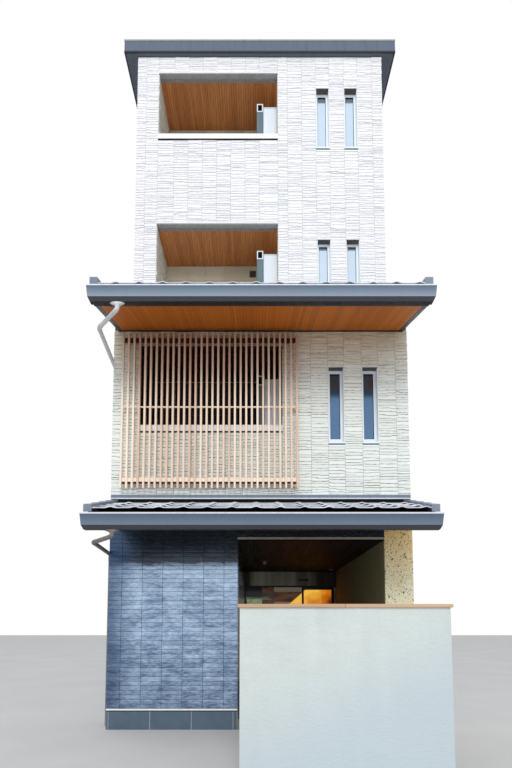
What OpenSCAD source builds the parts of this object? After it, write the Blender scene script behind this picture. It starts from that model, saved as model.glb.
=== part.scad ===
// Four-storey timber-fronted townhouse on a narrow plot, in millimetres.
// The street side faces -Y and +X is to the right of someone who looks at it from the street.
// The origin is on the ground, at the middle of the plan.

/* [Plan] */
// Width of the street front
width = 4500; // [4300:50:4800]
// Depth from the lower street front to the rear wall
depth = 8700; // [8200:50:9200]
// Thickness of the outer walls
wall_t = 150; // [150:10:180]
// Thickness of the walls round a balcony
inner_wall_t = 100; // [80:10:120]
// Distance by which the two top storeys stand back from the lower front
setback = 1120; // [1000:20:1300]

/* [Levels] */
// Thickness of the ground slab
slab_t = 150; // [100:10:200]
// Height of the second floor's surface above the ground
first_storey_h = 3360; // [3300:20:3500]
// Height from one upper floor to the next
storey_h = 2970; // [2900:10:3060]
// Thickness of an upper floor
floor_t = 220; // [180:10:240]

/* [Top roof] */
// Height of the roof's edge above the tops of the walls
top_roof_h = 240; // [200:10:280]
// Distance by which the roof falls from front to rear
top_roof_fall = 90; // [60:10:120]
// Overhang of the roof past the side walls
top_side_over = 225; // [150:5:260]
// Overhang of the roof past the street front
top_front_over = 60; // [40:5:120]
// Overhang of the roof past the rear wall
top_rear_over = 120; // [80:10:200]
// Height of the roof's metal edge
top_edge_h = 260; // [245:5:300]

/* [Eave roofs] */
// Pitch of both eave roofs in degrees
eave_pitch = 16.4; // [14:0.2:18]
// Distance from the street front to the face of the fascia
eave_out = 1200; // [1100:10:1300]
// Height of the upper soffit at the wall, below the third floor's surface
upper_soffit_drop = 285; // [275:5:300]
// Height of the lower roof's underside at the wall, below the second floor's surface
lower_soffit_drop = 250; // [240:5:270]
// Upright thickness of the upper roof, from soffit to battens
upper_deck_t = 235; // [210:5:270]
// Upright thickness of the lower roof
lower_deck_t = 185; // [160:5:200]
// Distance by which the eaves' decks and fascias end inside the verge tiles
deck_inset = 55; // [30:5:70]
// Thickness of the boarded soffit
soffit_t = 15; // [12:1:20]
// Upright thickness of the tile layer
tile_t = 60; // [50:5:80]
// Distance by which the tiles reach past the fascia
tile_over = 25; // [15:5:40]
// Width of a boxed verge tile
verge_w = 105; // [90:5:130]
// Upright height of a boxed verge tile on the lower roof
lower_verge_h = 100; // [90:5:120]
// Upright height of a boxed verge tile on the upper roof
upper_verge_h = 135; // [110:5:150]
// Length of a boxed verge tile that shows
verge_l = 245; // [220:5:280]
// Distance by which a verge tile stands above the next one up the slope
verge_step = 8; // [4:1:12]
// Thickness of the fascia boards
fascia_t = 30; // [20:5:40]
// Distance by which the fascia boards hang below the underside
fascia_drop = 15; // [5:5:30]
// Height of the metal flashing above the verge tiles
flashing_h = 70; // [50:5:90]
// Thickness of the metal flashing
flashing_t = 20; // [10:5:30]

/* [Gutters and downpipes] */
// Width of a gutter at its lip
gutter_w = 115; // [100:5:130]
// Height of a gutter's face
gutter_h = 155; // [140:5:170]
// Height of the chamfer under a gutter's face
gutter_chamfer_h = 52; // [40:2:60]
// Width of the chamfer under a gutter's face
gutter_chamfer_w = 25; // [15:5:30]
// Distance by which a gutter's face leans back to its foot
gutter_lean = 15; // [0:5:25]
// Thickness of the gutter's metal
gutter_t = 6; // [4:1:8]
// Width of the lip that is turned in along a gutter's face
gutter_lip_w = 17; // [12:1:24]
// Distance by which a gutter passes the side walls
gutter_over = 15; // [5:5:30]
// Height of a roof's batten line above its gutter's lip
gutter_drop = 34; // [24:2:50]
// Outer diameter of a downpipe
pipe_d = 58; // [50:1:66]
// Distance from the left wall to a downpipe's centre
pipe_off = 64; // [55:1:80]
// Distance from the fascia to the outlet's centre
outlet_off = 38; // [34:1:44]
// Length of the upright stub under a gutter
outlet_h = 80; // [60:5:120]
// Distance from the street front back to the bend at the side wall's corner
pipe_kick_y = 830; // [700:10:900]
// Distance from that bend sideways to the line of the pipes on the wall
pipe_kick_x = 77; // [60:1:100]
// Fall of each slanting run of a downpipe
pipe_fall = 14; // [8:1:20]
// Distance from the street front to the lower pipe on the side wall
lower_pipe_in = 260; // [220:10:300]
// Distance between the two pipes on the side wall
pipe_apart = 140; // [100:10:180]
// Height of the pipes' feet above the ground
pipe_foot = 5; // [2:1:20]
// Distance between the straps on a downpipe
strap_pitch = 1000; // [800:50:1200]
// Height of a strap
strap_h = 24; // [18:1:32]
// Distance by which straps and sockets stand out of the pipe
strap_t = 3; // [2:0.5:5]
// Length of the socket below a downpipe's bend
socket_h = 50; // [40:5:70]
// Distance from the left corner to the outlet in a gutter
outlet_in = 375; // [300:5:450]

/* [Balconies] */
// Width of the wall to the left of a balcony
recess_left = 385; // [340:5:420]
// Width of a balcony opening
recess_w = 2195; // [2100:5:2250]
// Depth of a balcony
recess_deep = 1080; // [1000:10:1150]
// Height of the parapet's top above the balcony floor
parapet_h = 1180; // [1100:10:1220]
// Height of an opening's head above the balcony floor
recess_head = 2410; // [2360:10:2440]
// Height of the parapet's white cap
cap_h = 95; // [80:5:110]
// Distance by which the cap passes both faces of the parapet
cap_over = 30; // [15:5:40]
// Size of the eased edges along the top of a cap
cap_ease = 5; // [3:1:8]
// Thickness of the boarded ceiling
ceiling_t = 40; // [30:5:50]
// Distance by which the ceiling lies below the opening's head
ceiling_drop = 20; // [10:5:30]
// Width of the white service cabinet
cabinet_w = 258; // [200:2:280]
// Depth of the white service cabinet
cabinet_d = 450; // [350:10:600]
// Distance from the street face to the service cabinet
cabinet_in = 310; // [280:10:360]
// Height of the service cabinet
cabinet_h = 2045; // [1950:5:2150]
// Width of the narrow duct beside the cabinet
duct_w = 118; // [100:2:130]
// Distance by which the duct stands in front of the cabinet
duct_fore = 12; // [6:1:20]
// Space between the cabinet and the duct
duct_gap = 6; // [4:1:12]
// Distance by which the duct rises above the cabinet
duct_rise = 70; // [50:5:90]

/* [Lattice] */
// Number of upright bars
bar_count = 32; // [24:1:36]
// Width of an upright bar
bar_w = 30; // [26:1:40]
// Depth of an upright bar
bar_d = 55; // [45:5:60]
// Size of the eased edges on the front of a bar
bar_ease = 3; // [2:0.5:5]
// Height of the bars' feet above the second floor
lattice_foot = 170; // [140:10:220]
// Height of the bars
lattice_h = 2400; // [2360:10:2440]
// Distance by which the lattice laps the wall beside the opening
lattice_lap = 230; // [180:5:260]
// Space between the lattice and the wall
lattice_gap = 95; // [80:5:110]
// Height of the bottom rail
low_rail_h = 50; // [40:5:60]
// Height of the middle rail
mid_rail_h = 20; // [14:2:30]
// Height of the top rail
top_rail_h = 50; // [40:5:60]
// Depth of the rails
rail_d = 25; // [20:1:30]
// Width of a bracket that holds the lattice
bracket_w = 40; // [30:5:50]

/* [Slot windows] */
// Width of a slot window
slot_w = 250; // [220:5:270]
// Distance from the right corner to the nearer slot window
slot_edge = 450; // [420:5:500]
// Width of the wall between the two slot windows
slot_gap = 270; // [240:5:300]
// Height of a window's sill above the floor
slot_sill = 920; // [880:10:960]
// Height of a slot window
slot_h = 1175; // [1100:5:1220]
// Depth of the outer reveal
reveal = 100; // [85:5:105]
// Width of the frame's face
frame_w = 48; // [40:1:54]
// Depth of a window frame
frame_d = 50; // [40:2:50]
// Width of the sash's face within the frame
sash_w = 28; // [20:1:32]
// Height of the sash's bottom rail
sash_foot = 64; // [50:2:76]
// Distance by which the sash lies behind the frame's face
sash_back = 8; // [5:1:12]
// Thickness of the glass
glass_t = 8; // [6:1:12]
// Thickness of a sill
sill_t = 30; // [20:5:40]
// Fall of a sill from the frame to its nose
sill_fall = 6; // [3:1:10]
// Width and depth of the drip groove under a sill's nose
drip = 5; // [3:1:8]
// Distance by which a sill stands out of the wall
sill_over = 30; // [15:5:40]

/* [Porch and entrance] */
// Width of the tiled wall to the left of the porch
tiled_w = 1905; // [1850:5:1950]
// Width of the stone pier and the wall behind it, from the porch to the corner
pier_w = 415; // [360:5:450]
// Depth of the porch
porch_deep = 4600; // [4300:50:4800]
// Height of the porch ceiling above the ground
porch_head = 2770; // [2720:10:2820]
// Depth of the stone pier
pier_d = 350; // [300:10:420]
// Distance by which the plaster stands past the pier's inner face
pier_inset = 10; // [5:1:20]
// Distance by which the stone stands out of the walls
stone_over = 14; // [8:1:20]
// Height of the stone skirting
skirting_h = 260; // [230:5:290]
// Depth of the entrance frame
entrance_d = 120; // [110:5:140]
// Width of the frame's jambs and posts
jamb_w = 40; // [34:1:50]
// Clear width of the side light
side_light_w = 625; // [600:5:650]
// Clear width of the fixed pane
fixed_pane_w = 665; // [640:5:680]
// Height of the door's head above the ground
door_head = 2400; // [2350:10:2440]
// Height of the bar over the door
transom_bar_h = 40; // [30:5:50]
// Thickness of the panel above that bar
transom_t = 20; // [12:2:30]
// Height of the floor rail
floor_rail_h = 8; // [6:1:10]
// Width of the door leaf's stiles
stile_w = 50; // [40:5:60]
// Thickness of the door leaf
leaf_t = 40; // [34:1:44]
// Length of the flush pulls in the door's closing stile
pull_l = 180; // [140:5:220]
// Width of a flush pull
pull_w = 22; // [16:1:28]
// Depth of a flush pull
pull_deep = 6; // [4:1:10]
// Height of the pulls' middle above the floor
pull_z = 950; // [850:10:1050]
// Space round the moving door leaf
leaf_gap = 6; // [5:0.5:8]
// Running clearance between the door's shoes and the rail
shoe_gap = 0.3; // [0.2:0.05:0.5]

/* [Screen wall] */
// Distance from the street front to the near face of the screen wall
screen_out = 2300; // [2100:20:2500]
// Thickness of the screen wall
screen_t = 150; // [120:10:180]
// Distance from the left corner of the house to the screen wall
screen_left = 2010; // [1950:10:2100]
// Length of the screen wall
screen_w = 2173; // [2100:1:2240]
// Height of the screen wall without its cap
screen_h = 1694; // [1600:2:1800]
// Thickness of the cap
screen_cap_t = 36; // [28:2:46]
// Distance by which the cap passes the plaster
screen_cap_over = 22; // [12:2:40]
// Size of the eased edges along the top of the cap
screen_cap_ease = 4; // [2:1:8]

/* [Hidden] */
$fn = 48;

// Half widths and the main upright planes.
half = width / 2;
inner_half = half - wall_t;
front = -depth / 2;
rear = depth / 2;
upper_front = front + setback;

// Heights of the floors, the undersides above them and the tops of the walls.
UPPER_STOREYS = [2, 3, 4];
ALL_STOREYS = [1, 2, 3, 4];
function level(storey) = storey == 1 ? slab_t : first_storey_h + (storey - 2) * storey_h;
wall_top = level(4) + storey_h - floor_t - 10;
function underside(storey) = storey == 4 ? wall_top : level(storey + 1) - floor_t;
function face(storey) = storey > 2 ? upper_front : front;

// Planes of the two eave roofs, as heights at the lower street front.
eave_rise = tan(eave_pitch);
upper_soffit_z = level(3) - upper_soffit_drop;
lower_soffit_z = level(2) - lower_soffit_drop;
function on_slope(z, y) = z + eave_rise * (y - front);
fascia_y = front - eave_out;
tile_y = fascia_y - tile_over;

// Sideways places.
recess_x0 = -half + recess_left;
recess_x1 = recess_x0 + recess_w;
porch_x0 = -half + tiled_w;
porch_x1 = half - pier_w;
pier_x0 = porch_x1 + pier_inset;
entrance_y = front + porch_deep;
SLOT_STARTS = [half - slot_edge - 2 * slot_w - slot_gap, half - slot_edge - slot_w];

// Places along the entrance, from its left jamb to its right one.
side_light_x = porch_x0 + jamb_w;
mullion_x = side_light_x + side_light_w;
fixed_pane_x = mullion_x + jamb_w;
meeting_post_x = fixed_pane_x + fixed_pane_w;
right_jamb_x = porch_x1 - jamb_w;
leaf_x0 = meeting_post_x + 4;
leaf_x1 = right_jamb_x - leaf_gap;
leaf_z0 = level(1) + floor_rail_h + leaf_gap;
leaf_z1 = door_head - leaf_gap;
fixed_d = entrance_d / 2 - 6;
leaf_y = entrance_y + entrance_d - leaf_t - leaf_gap;
shoe_l = 60;
CUT = 1;
// Joint left open where one sloping face lies on another.
SEAT = 0.3;
TUBE_SIDES = 16;

// The two ends of a length that starts at a place.
function span(start, length) = [start, start + length];

// A block between two corners.
module block(x, y, z) {
    translate([x[0], y[0], z[0]])
        cube([x[1] - x[0], y[1] - y[0], z[1] - z[0]]);
}

// A profile of [y, z] points drawn out along X.
module along_x(x, points) {
    translate([x[0], 0, 0])
        rotate([90, 0, 90])
            linear_extrude(x[1] - x[0])
                polygon(points);
}

// A profile of [x, z] points drawn out along Y.
module along_y(y, points) {
    translate([0, y[1], 0])
        rotate([90, 0, 0])
            linear_extrude(y[1] - y[0])
                polygon(points);
}

// An upright ring of one width all round, open along Y.
module upright_ring(x, y, z, w) {
    difference() {
        block(x, y, z);
        block([x[0] + w, x[1] - w], [y[0] - CUT, y[1] + CUT], [z[0] + w, z[1] - w]);
    }
}

// A bar along X with its two upper edges eased.
module eased_bar(x, y, z, ease) {
    along_x(x, [
        [y[0], z[0]],
        [y[0], z[1] - ease],
        [y[0] + ease, z[1]],
        [y[1] - ease, z[1]],
        [y[1], z[1] - ease],
        [y[1], z[0]]
    ]);
}

// A sloping layer of an eave roof between two upright planes.
module sloping_layer(x, y, z0, thickness) {
    along_x(x, [
        [y[0], on_slope(z0, y[0])],
        [y[1], on_slope(z0, y[1])],
        [y[1], on_slope(z0, y[1]) + thickness],
        [y[0], on_slope(z0, y[0]) + thickness]
    ]);
}

// Everything above the upper eave roof's structural underside.
module above_upper_eave() {
    sloping_layer([-half - CUT, half + CUT], [front - CUT, upper_front + wall_t],
        upper_soffit_z + soffit_t - SEAT, storey_h);
}

// Puts children, drawn at a street face at y = 0, on the street side or turned onto the rear.
module on_street(storey) {
    translate([0, face(storey), 0]) children();
}

module on_rear() {
    translate([0, rear, 0]) mirror([0, 1, 0]) children();
}

// Every slot window, on the street side and again on the rear.
module each_slot() {
    for (storey = UPPER_STOREYS)
        for (x = SLOT_STARTS)
            on_street(storey) translate([x, 0, level(storey) + slot_sill]) children();
    each_rear_slot() children();
}

module each_rear_slot() {
    for (storey = ALL_STOREYS)
        for (x = SLOT_STARTS)
            on_rear() translate([x, 0, level(storey) + slot_sill]) children();
}

// The hole for a slot window and its sill, drawn at the sill's top left corner.
module slot_hole() {
    block([0, slot_w], [-CUT, wall_t + CUT], [-sill_t, slot_h]);
}

module ground_slab() {
    color("darkgray")
        difference() {
            block([-half, half], [front, rear], [0, slab_t]);
            block([pier_x0, half + CUT], [front - CUT, front + pier_d], [-CUT, slab_t + CUT]);
        }
}

module stone_skirting() {
    color("slategray")
        block([-half, porch_x0], [front - stone_over, front], [0, skirting_h]);
}

module tiled_front_wall() {
    color("midnightblue")
        block([-half, porch_x0], [front, front + wall_t], [slab_t, underside(1)]);
}

module porch_left_wall() {
    color("midnightblue")
        block([porch_x0 - wall_t, porch_x0], [front + wall_t, entrance_y + entrance_d],
            [slab_t, underside(1)]);
}

module porch_right_wall() {
    color("khaki")
        block([porch_x1, inner_half], [front + pier_d, entrance_y + entrance_d],
            [slab_t, underside(1)]);
}

module stone_pier() {
    color("tan") {
        block([pier_x0, half + stone_over], [front, front + pier_d], [0, underside(1)]);
        block([pier_x0, half + stone_over], [front - stone_over, front],
            [0, on_slope(lower_soffit_z, front - stone_over) - SEAT]);
    }
}

module porch_lintel() {
    color("midnightblue")
        block([porch_x0, pier_x0], [front, front + wall_t], [porch_head, underside(1)]);
}

module porch_ceiling() {
    color("saddlebrown")
        block([porch_x0, porch_x1], [front + wall_t, entrance_y],
            [porch_head, porch_head + ceiling_t]);
}

// Jambs, posts, bars and the floor rail of the glazed entrance, with the wall over it.
module entrance_frame() {
    bar_top = door_head + transom_bar_h;
    color("dimgray") {
        for (x = [porch_x0, right_jamb_x])
            block([x, x + jamb_w], [entrance_y, entrance_y + entrance_d], [slab_t, bar_top]);
        for (x = [mullion_x, meeting_post_x])
            block([x, x + jamb_w], [entrance_y, entrance_y + fixed_d], [slab_t, bar_top]);
        block([porch_x0, meeting_post_x + jamb_w], [entrance_y, entrance_y + fixed_d],
            [slab_t, slab_t + jamb_w]);
        block([porch_x0, porch_x1], [entrance_y, entrance_y + entrance_d],
            [door_head, bar_top]);
        block([porch_x0, porch_x1], [entrance_y + transom_t, entrance_y + entrance_d],
            [bar_top, porch_head]);
        block([porch_x0, porch_x1], [entrance_y, entrance_y + entrance_d],
            [porch_head, underside(1)]);
        block([porch_x0, porch_x1], [leaf_y + leaf_t / 4, leaf_y + leaf_t * 3 / 4],
            [slab_t, slab_t + floor_rail_h]);
    }
}

// One unbroken panel over the glazing, in front of the wall above the door.
module transom_panel() {
    color("lightgray")
        block([porch_x0, porch_x1], [entrance_y, entrance_y + transom_t],
            [door_head + transom_bar_h, porch_head]);
}

module entrance_glass() {
    y = entrance_y + fixed_d / 2;
    color("lightblue", 0.5) {
        block([side_light_x, mullion_x], [y, y + glass_t], [slab_t + jamb_w, door_head]);
        block([fixed_pane_x, meeting_post_x], [y, y + glass_t], [slab_t + jamb_w, door_head]);
    }
}

// The sliding leaf: two stiles, two rails and the shoes that run on the floor rail. The closing
// stile has a flush pull in each face.
module entrance_door_leaf() {
    pull_x = leaf_x1 - stile_w / 2 - pull_w / 2;
    color("peru") {
        difference() {
            upright_ring([leaf_x0, leaf_x1], [leaf_y, leaf_y + leaf_t], [leaf_z0, leaf_z1], stile_w);
            for (y = [leaf_y - CUT, leaf_y + leaf_t - pull_deep])
                block(span(pull_x, pull_w), span(y, pull_deep + CUT),
                    span(slab_t + pull_z - pull_l / 2, pull_l));
        }
        for (x = [leaf_x0 + stile_w, leaf_x1 - stile_w - shoe_l])
            block([x, x + shoe_l], [leaf_y + leaf_t / 4, leaf_y + leaf_t * 3 / 4],
                [slab_t + floor_rail_h + shoe_gap, leaf_z0]);
    }
}

module entrance_door_glass() {
    y = leaf_y + (leaf_t - glass_t) / 2;
    color("orange", 0.5)
        block([leaf_x0 + stile_w, leaf_x1 - stile_w], [y, y + glass_t],
            [leaf_z0 + stile_w, leaf_z1 - stile_w]);
}

module upper_floor(storey) {
    color("silver")
        block([-inner_half, inner_half], [face(storey) + wall_t, rear - wall_t],
            [level(storey) - floor_t, level(storey)]);
}

// One balcony opening through a street wall, from the parapet's cap to the head.
module recess_hole(storey) {
    block([recess_x0, recess_x1], [face(storey) - CUT, face(storey) + wall_t + CUT],
        [level(storey) + parapet_h - cap_h, level(storey) + recess_head]);
}

module second_front_wall() {
    color("whitesmoke")
        difference() {
            block([-half, half], [front, front + wall_t], [underside(1), level(3)]);
            above_upper_eave();
            recess_hole(2);
            each_slot() slot_hole();
        }
}

module upper_front_wall() {
    color("white")
        difference() {
            block([-half, half], [upper_front, upper_front + wall_t], [underside(2), wall_top]);
            recess_hole(3);
            recess_hole(4);
            each_slot() slot_hole();
        }
}

// A side wall's outline, stepped back at the upper eave and notched for what stands before it.
module side_wall(x, start) {
    color("gainsboro")
        along_x(x, [
            [start, slab_t],
            [rear - wall_t, slab_t],
            [rear - wall_t, wall_top],
            [upper_front + wall_t, wall_top],
            [upper_front + wall_t, underside(2)],
            [upper_front, underside(2)],
            [upper_front, on_slope(upper_soffit_z, upper_front) + soffit_t - SEAT],
            [front + wall_t, on_slope(upper_soffit_z, front + wall_t) + soffit_t - SEAT],
            [front + wall_t, underside(1)],
            [start, underside(1)]
        ]);
}

module rear_wall() {
    color("gainsboro")
        difference() {
            block([-half, half], [rear - wall_t, rear], [slab_t, wall_top]);
            each_rear_slot() slot_hole();
        }
}

// The walls round the three balconies, each a U that is open to the street.
module balcony_walls() {
    color("beige")
        for (storey = UPPER_STOREYS)
            difference() {
                block([-inner_half, recess_x1 + inner_wall_t],
                    [face(storey) + wall_t, face(storey) + recess_deep + inner_wall_t],
                    [level(storey), underside(storey)]);
                block([recess_x0, recess_x1], [face(storey), face(storey) + recess_deep],
                    [level(storey) - CUT, underside(storey) + CUT]);
                if (storey == 2) above_upper_eave();
            }
}

module balcony_ceilings() {
    color("sienna")
        for (storey = UPPER_STOREYS)
            block([recess_x0, recess_x1], [face(storey) + wall_t, face(storey) + recess_deep],
                span(level(storey) + recess_head - ceiling_drop, ceiling_t));
}

module balcony_caps() {
    color("white")
        for (storey = UPPER_STOREYS)
            eased_bar([recess_x0, recess_x1],
                [face(storey) - cap_over, face(storey) + wall_t + cap_over],
                span(level(storey) + parapet_h - cap_h, cap_h), cap_ease);
}

module balcony_cabinets() {
    color("white")
        for (storey = UPPER_STOREYS)
            block([recess_x1 - cabinet_w, recess_x1],
                span(face(storey) + cabinet_in, cabinet_d),
                span(level(storey), cabinet_h));
}

module balcony_ducts() {
    color("cadetblue")
        for (storey = UPPER_STOREYS)
            block(span(recess_x1 - cabinet_w - duct_gap - duct_w, duct_w),
                span(face(storey) + cabinet_in - duct_fore, cabinet_d),
                span(level(storey), cabinet_h + duct_rise));
}

lattice_x0 = recess_x0 - lattice_lap;
lattice_w = recess_w + 2 * lattice_lap;
lattice_z0 = level(2) + lattice_foot;
lattice_y1 = front - lattice_gap;
RAILS = [
    [lattice_z0 + 70, low_rail_h],
    [lattice_z0 + lattice_h / 2 + 50, mid_rail_h],
    [lattice_z0 + lattice_h - 70, top_rail_h]
];

// An upright bar with the two edges of its face eased.
module lattice_bar(x) {
    y = span(lattice_y1 - bar_d, bar_d);
    translate([0, 0, lattice_z0])
        linear_extrude(lattice_h)
            polygon([
                [x, y[1]],
                [x, y[0] + bar_ease],
                [x + bar_ease, y[0]],
                [x + bar_w - bar_ease, y[0]],
                [x + bar_w, y[0] + bar_ease],
                [x + bar_w, y[1]]
            ]);
}

// Upright bars, fused with the three rails behind them.
module lattice_screen() {
    pitch = (lattice_w - bar_w) / (bar_count - 1);
    color("burlywood") {
        for (i = [0:bar_count - 1])
            lattice_bar(lattice_x0 + i * pitch);
        for (rail = RAILS)
            block(span(lattice_x0, lattice_w), [lattice_y1 - rail_d, lattice_y1],
                span(rail[0] - rail[1] / 2, rail[1]));
    }
}

module lattice_brackets() {
    color("dimgray")
        for (rail = RAILS)
            for (x = [lattice_x0 + bracket_w, lattice_x0 + lattice_w - 2 * bracket_w])
                block(span(x, bracket_w), [lattice_y1, front],
                    span(rail[0] - rail[1] / 2, rail[1]));
}

// A frame in each opening, with a sash that lies a little further back within it and has a
// taller bottom rail.
module window_frames() {
    rim = frame_w - sash_w;
    color("white")
        each_slot() {
            upright_ring([0, slot_w], span(reveal, frame_d), [0, slot_h], rim);
            upright_ring([rim, slot_w - rim], [reveal + sash_back, reveal + frame_d],
                [rim, slot_h - rim], sash_w);
            block([frame_w, slot_w - frame_w], [reveal + sash_back, reveal + frame_d],
                [frame_w, rim + sash_foot]);
        }
}

module window_glass() {
    y = reveal + sash_back + (frame_d - sash_back - glass_t) / 2;
    color("lightblue", 0.5)
        each_slot()
            block([frame_w, slot_w - frame_w], span(y, glass_t),
                [frame_w - sash_w + sash_foot, slot_h - frame_w]);
}

// Sills that fall to their noses, with a drip groove under each nose.
module window_sills() {
    nose = -sill_over;
    color("white")
        each_slot()
            along_x([0, slot_w], [
                [nose, -sill_t],
                [nose, -sill_fall],
                [reveal, 0],
                [reveal + frame_d, 0],
                [reveal + frame_d, -sill_t],
                [nose + 3 * drip, -sill_t],
                [nose + 3 * drip, -sill_t + drip],
                [nose + 2 * drip, -sill_t + drip],
                [nose + 2 * drip, -sill_t]
            ]);
}

eave_x = [-half + deck_inset, half - deck_inset];

module lower_roof_deck() {
    color("dimgray")
        sloping_layer(eave_x, [fascia_y + fascia_t, front], lower_soffit_z,
            lower_deck_t - SEAT);
}

module upper_roof_deck() {
    z = upper_soffit_z + soffit_t;
    t = upper_deck_t - soffit_t - SEAT;
    color("dimgray") {
        sloping_layer(eave_x, [fascia_y + fascia_t, upper_front], z, t);
        sloping_layer([-half, half], [front, upper_front], z, t);
    }
}

module upper_roof_soffit() {
    color("chocolate")
        sloping_layer(eave_x, [fascia_y + fascia_t, front], upper_soffit_z,
            soffit_t - SEAT);
}

module lower_roof_tiles() {
    color("slategray")
        sloping_layer([-half + verge_w, half - verge_w], [tile_y, front],
            lower_soffit_z + lower_deck_t, tile_t);
}

module upper_roof_tiles() {
    color("slategray")
        sloping_layer([-half + verge_w, half - verge_w], [tile_y, upper_front],
            upper_soffit_z + upper_deck_t, tile_t);
}

// A run of boxed verge tiles up a slope, each a step above the next one.
module verge_run(x, y, z0, tall) {
    count = round((y[1] - y[0]) / verge_l);
    length = (y[1] - y[0]) / count;
    for (i = [0:count - 1]) {
        start = y[0] + i * length;
        along_x(x, [
            [start, on_slope(z0, start)],
            [start + length, on_slope(z0, start + length)],
            [start + length, on_slope(z0, start + length) + tall - verge_step],
            [start, on_slope(z0, start) + tall]
        ]);
    }
}

// Boxed tiles along both verges of both eave roofs.
module verge_caps() {
    color("slategray")
        for (x = [-half, half - verge_w]) {
            verge_run(span(x, verge_w), [tile_y, front], lower_soffit_z + lower_deck_t,
                lower_verge_h);
            verge_run(span(x, verge_w), [tile_y, upper_front], upper_soffit_z + upper_deck_t,
                upper_verge_h);
        }
}

// A fascia board with a level foot and a top that follows the slope.
module fascia(soffit_z, deck_t) {
    foot = on_slope(soffit_z, fascia_y + fascia_t) - fascia_drop;
    along_x(eave_x, [
        [fascia_y, foot],
        [fascia_y + fascia_t, foot],
        [fascia_y + fascia_t, on_slope(soffit_z + deck_t - SEAT, fascia_y + fascia_t)],
        [fascia_y, on_slope(soffit_z + deck_t - SEAT, fascia_y)]
    ]);
}

module eave_fascias() {
    color("darkslategray") {
        fascia(lower_soffit_z, lower_deck_t);
        fascia(upper_soffit_z, upper_deck_t);
    }
}

function lip_z(soffit_z, deck_t) = on_slope(soffit_z + deck_t, fascia_y) - gutter_drop;
upper_lip_z = lip_z(upper_soffit_z, upper_deck_t);
lower_lip_z = lip_z(lower_soffit_z, lower_deck_t);
gutter_foot = gutter_h + gutter_chamfer_h;
gutter_y = fascia_y - gutter_w;
pipe_y = fascia_y - outlet_off;

// A gutter's side as [inward, downward] pairs from lip to foot, moved in by a thickness.
function gutter_side(t, rise) = [
    [t, -rise],
    [gutter_lean + t, gutter_h - t / 2],
    [gutter_lean + gutter_chamfer_w + t / 2, gutter_foot - t]
];

// A solid whose face and two ends lean back and are chamfered alike, and whose back is upright.
module gutter_form(lip, t, rise) {
    side = gutter_side(t, rise);
    x0 = -half - gutter_over;
    x1 = half + gutter_over;
    back = fascia_y - t;
    intersection() {
        along_x([x0, x1], concat(
            [for (p = side) [gutter_y + p[0], lip - p[1]]],
            [[back, lip - side[2][1]], [back, lip + rise]]
        ));
        along_y([gutter_y, fascia_y], concat(
            [for (p = side) [x0 + p[0], lip - p[1]]],
            [for (i = [2:-1:0]) [x1 - side[i][0], lip - side[i][1]]]
        ));
    }
}

// A box gutter, open at the top, with its lip turned in along the face.
module gutter(lip) {
    difference() {
        gutter_form(lip, 0, 0);
        gutter_form(lip, gutter_t, CUT);
    }
    block([-half - gutter_over + gutter_t, half + gutter_over - gutter_t],
        span(gutter_y + gutter_t / 2, gutter_lip_w), [lip - gutter_t, lip]);
}

module eave_gutters() {
    color("lightslategray") {
        gutter(upper_lip_z);
        gutter(lower_lip_z);
    }
}

// A strip of metal that closes the joint between an eave roof and the wall above it.
module roof_flashings() {
    color("lightslategray") {
        block([-half, half], [front - flashing_t, front],
            span(lower_soffit_z + lower_deck_t + lower_verge_h, flashing_h));
        block([-half, half], [upper_front - flashing_t, upper_front],
            span(on_slope(upper_soffit_z + upper_deck_t + upper_verge_h, upper_front), flashing_h));
    }
}

// Moves each point of a ring along a direction as far as the plane through a corner.
function advance(ring, dir, corner, normal) =
    [for (p = ring) p + dir * ((corner - p) * normal) / (dir * normal)];
function unit(v) = v / norm(v);

// The rings of a round tube along a route, mitred at each corner.
function mitred_rings(route, ring, i = 0) =
    i == len(route) - 1 ? [ring] :
    let (
        dir = unit(route[i + 1] - route[i]),
        next = i == len(route) - 2 ? dir : unit(route[i + 2] - route[i + 1])
    )
    concat([ring], mitred_rings(route, advance(ring, dir, route[i + 1], unit(dir + next)), i + 1));

// A round tube along a route that starts straight down.
module tube_down(route, diameter) {
    ring = [for (i = [0:TUBE_SIDES - 1])
        route[0] + diameter / 2 * [cos(i * 360 / TUBE_SIDES), sin(i * 360 / TUBE_SIDES), 0]];
    rings = mitred_rings(route, ring);
    last = (len(rings) - 1) * TUBE_SIDES;
    polyhedron(
        points = [for (r = rings) each r],
        faces = concat(
            [[for (i = [TUBE_SIDES - 1:-1:0]) i]],
            [for (k = [0:len(rings) - 2]) for (i = [0:TUBE_SIDES - 1])
                let (j = (i + 1) % TUBE_SIDES, a = k * TUBE_SIDES, b = a + TUBE_SIDES)
                [a + i, a + j, b + j, b + i]],
            [[for (i = [0:TUBE_SIDES - 1]) last + i]]
        )
    );
}

// A strap round a downpipe, with the stem and plate that hold it to the left wall.
module pipe_strap(x, y, z) {
    translate([x, y, z]) cylinder(d = pipe_d + 2 * strap_t, h = strap_h);
    block([x + pipe_d / 2, -half], [y - strap_h / 4, y + strap_h / 4], span(z + strap_h / 4, strap_h / 2));
    block([-half - strap_t, -half], [y - strap_h, y + strap_h], [z - strap_h / 2, z + strap_h * 1.5]);
}

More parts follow.
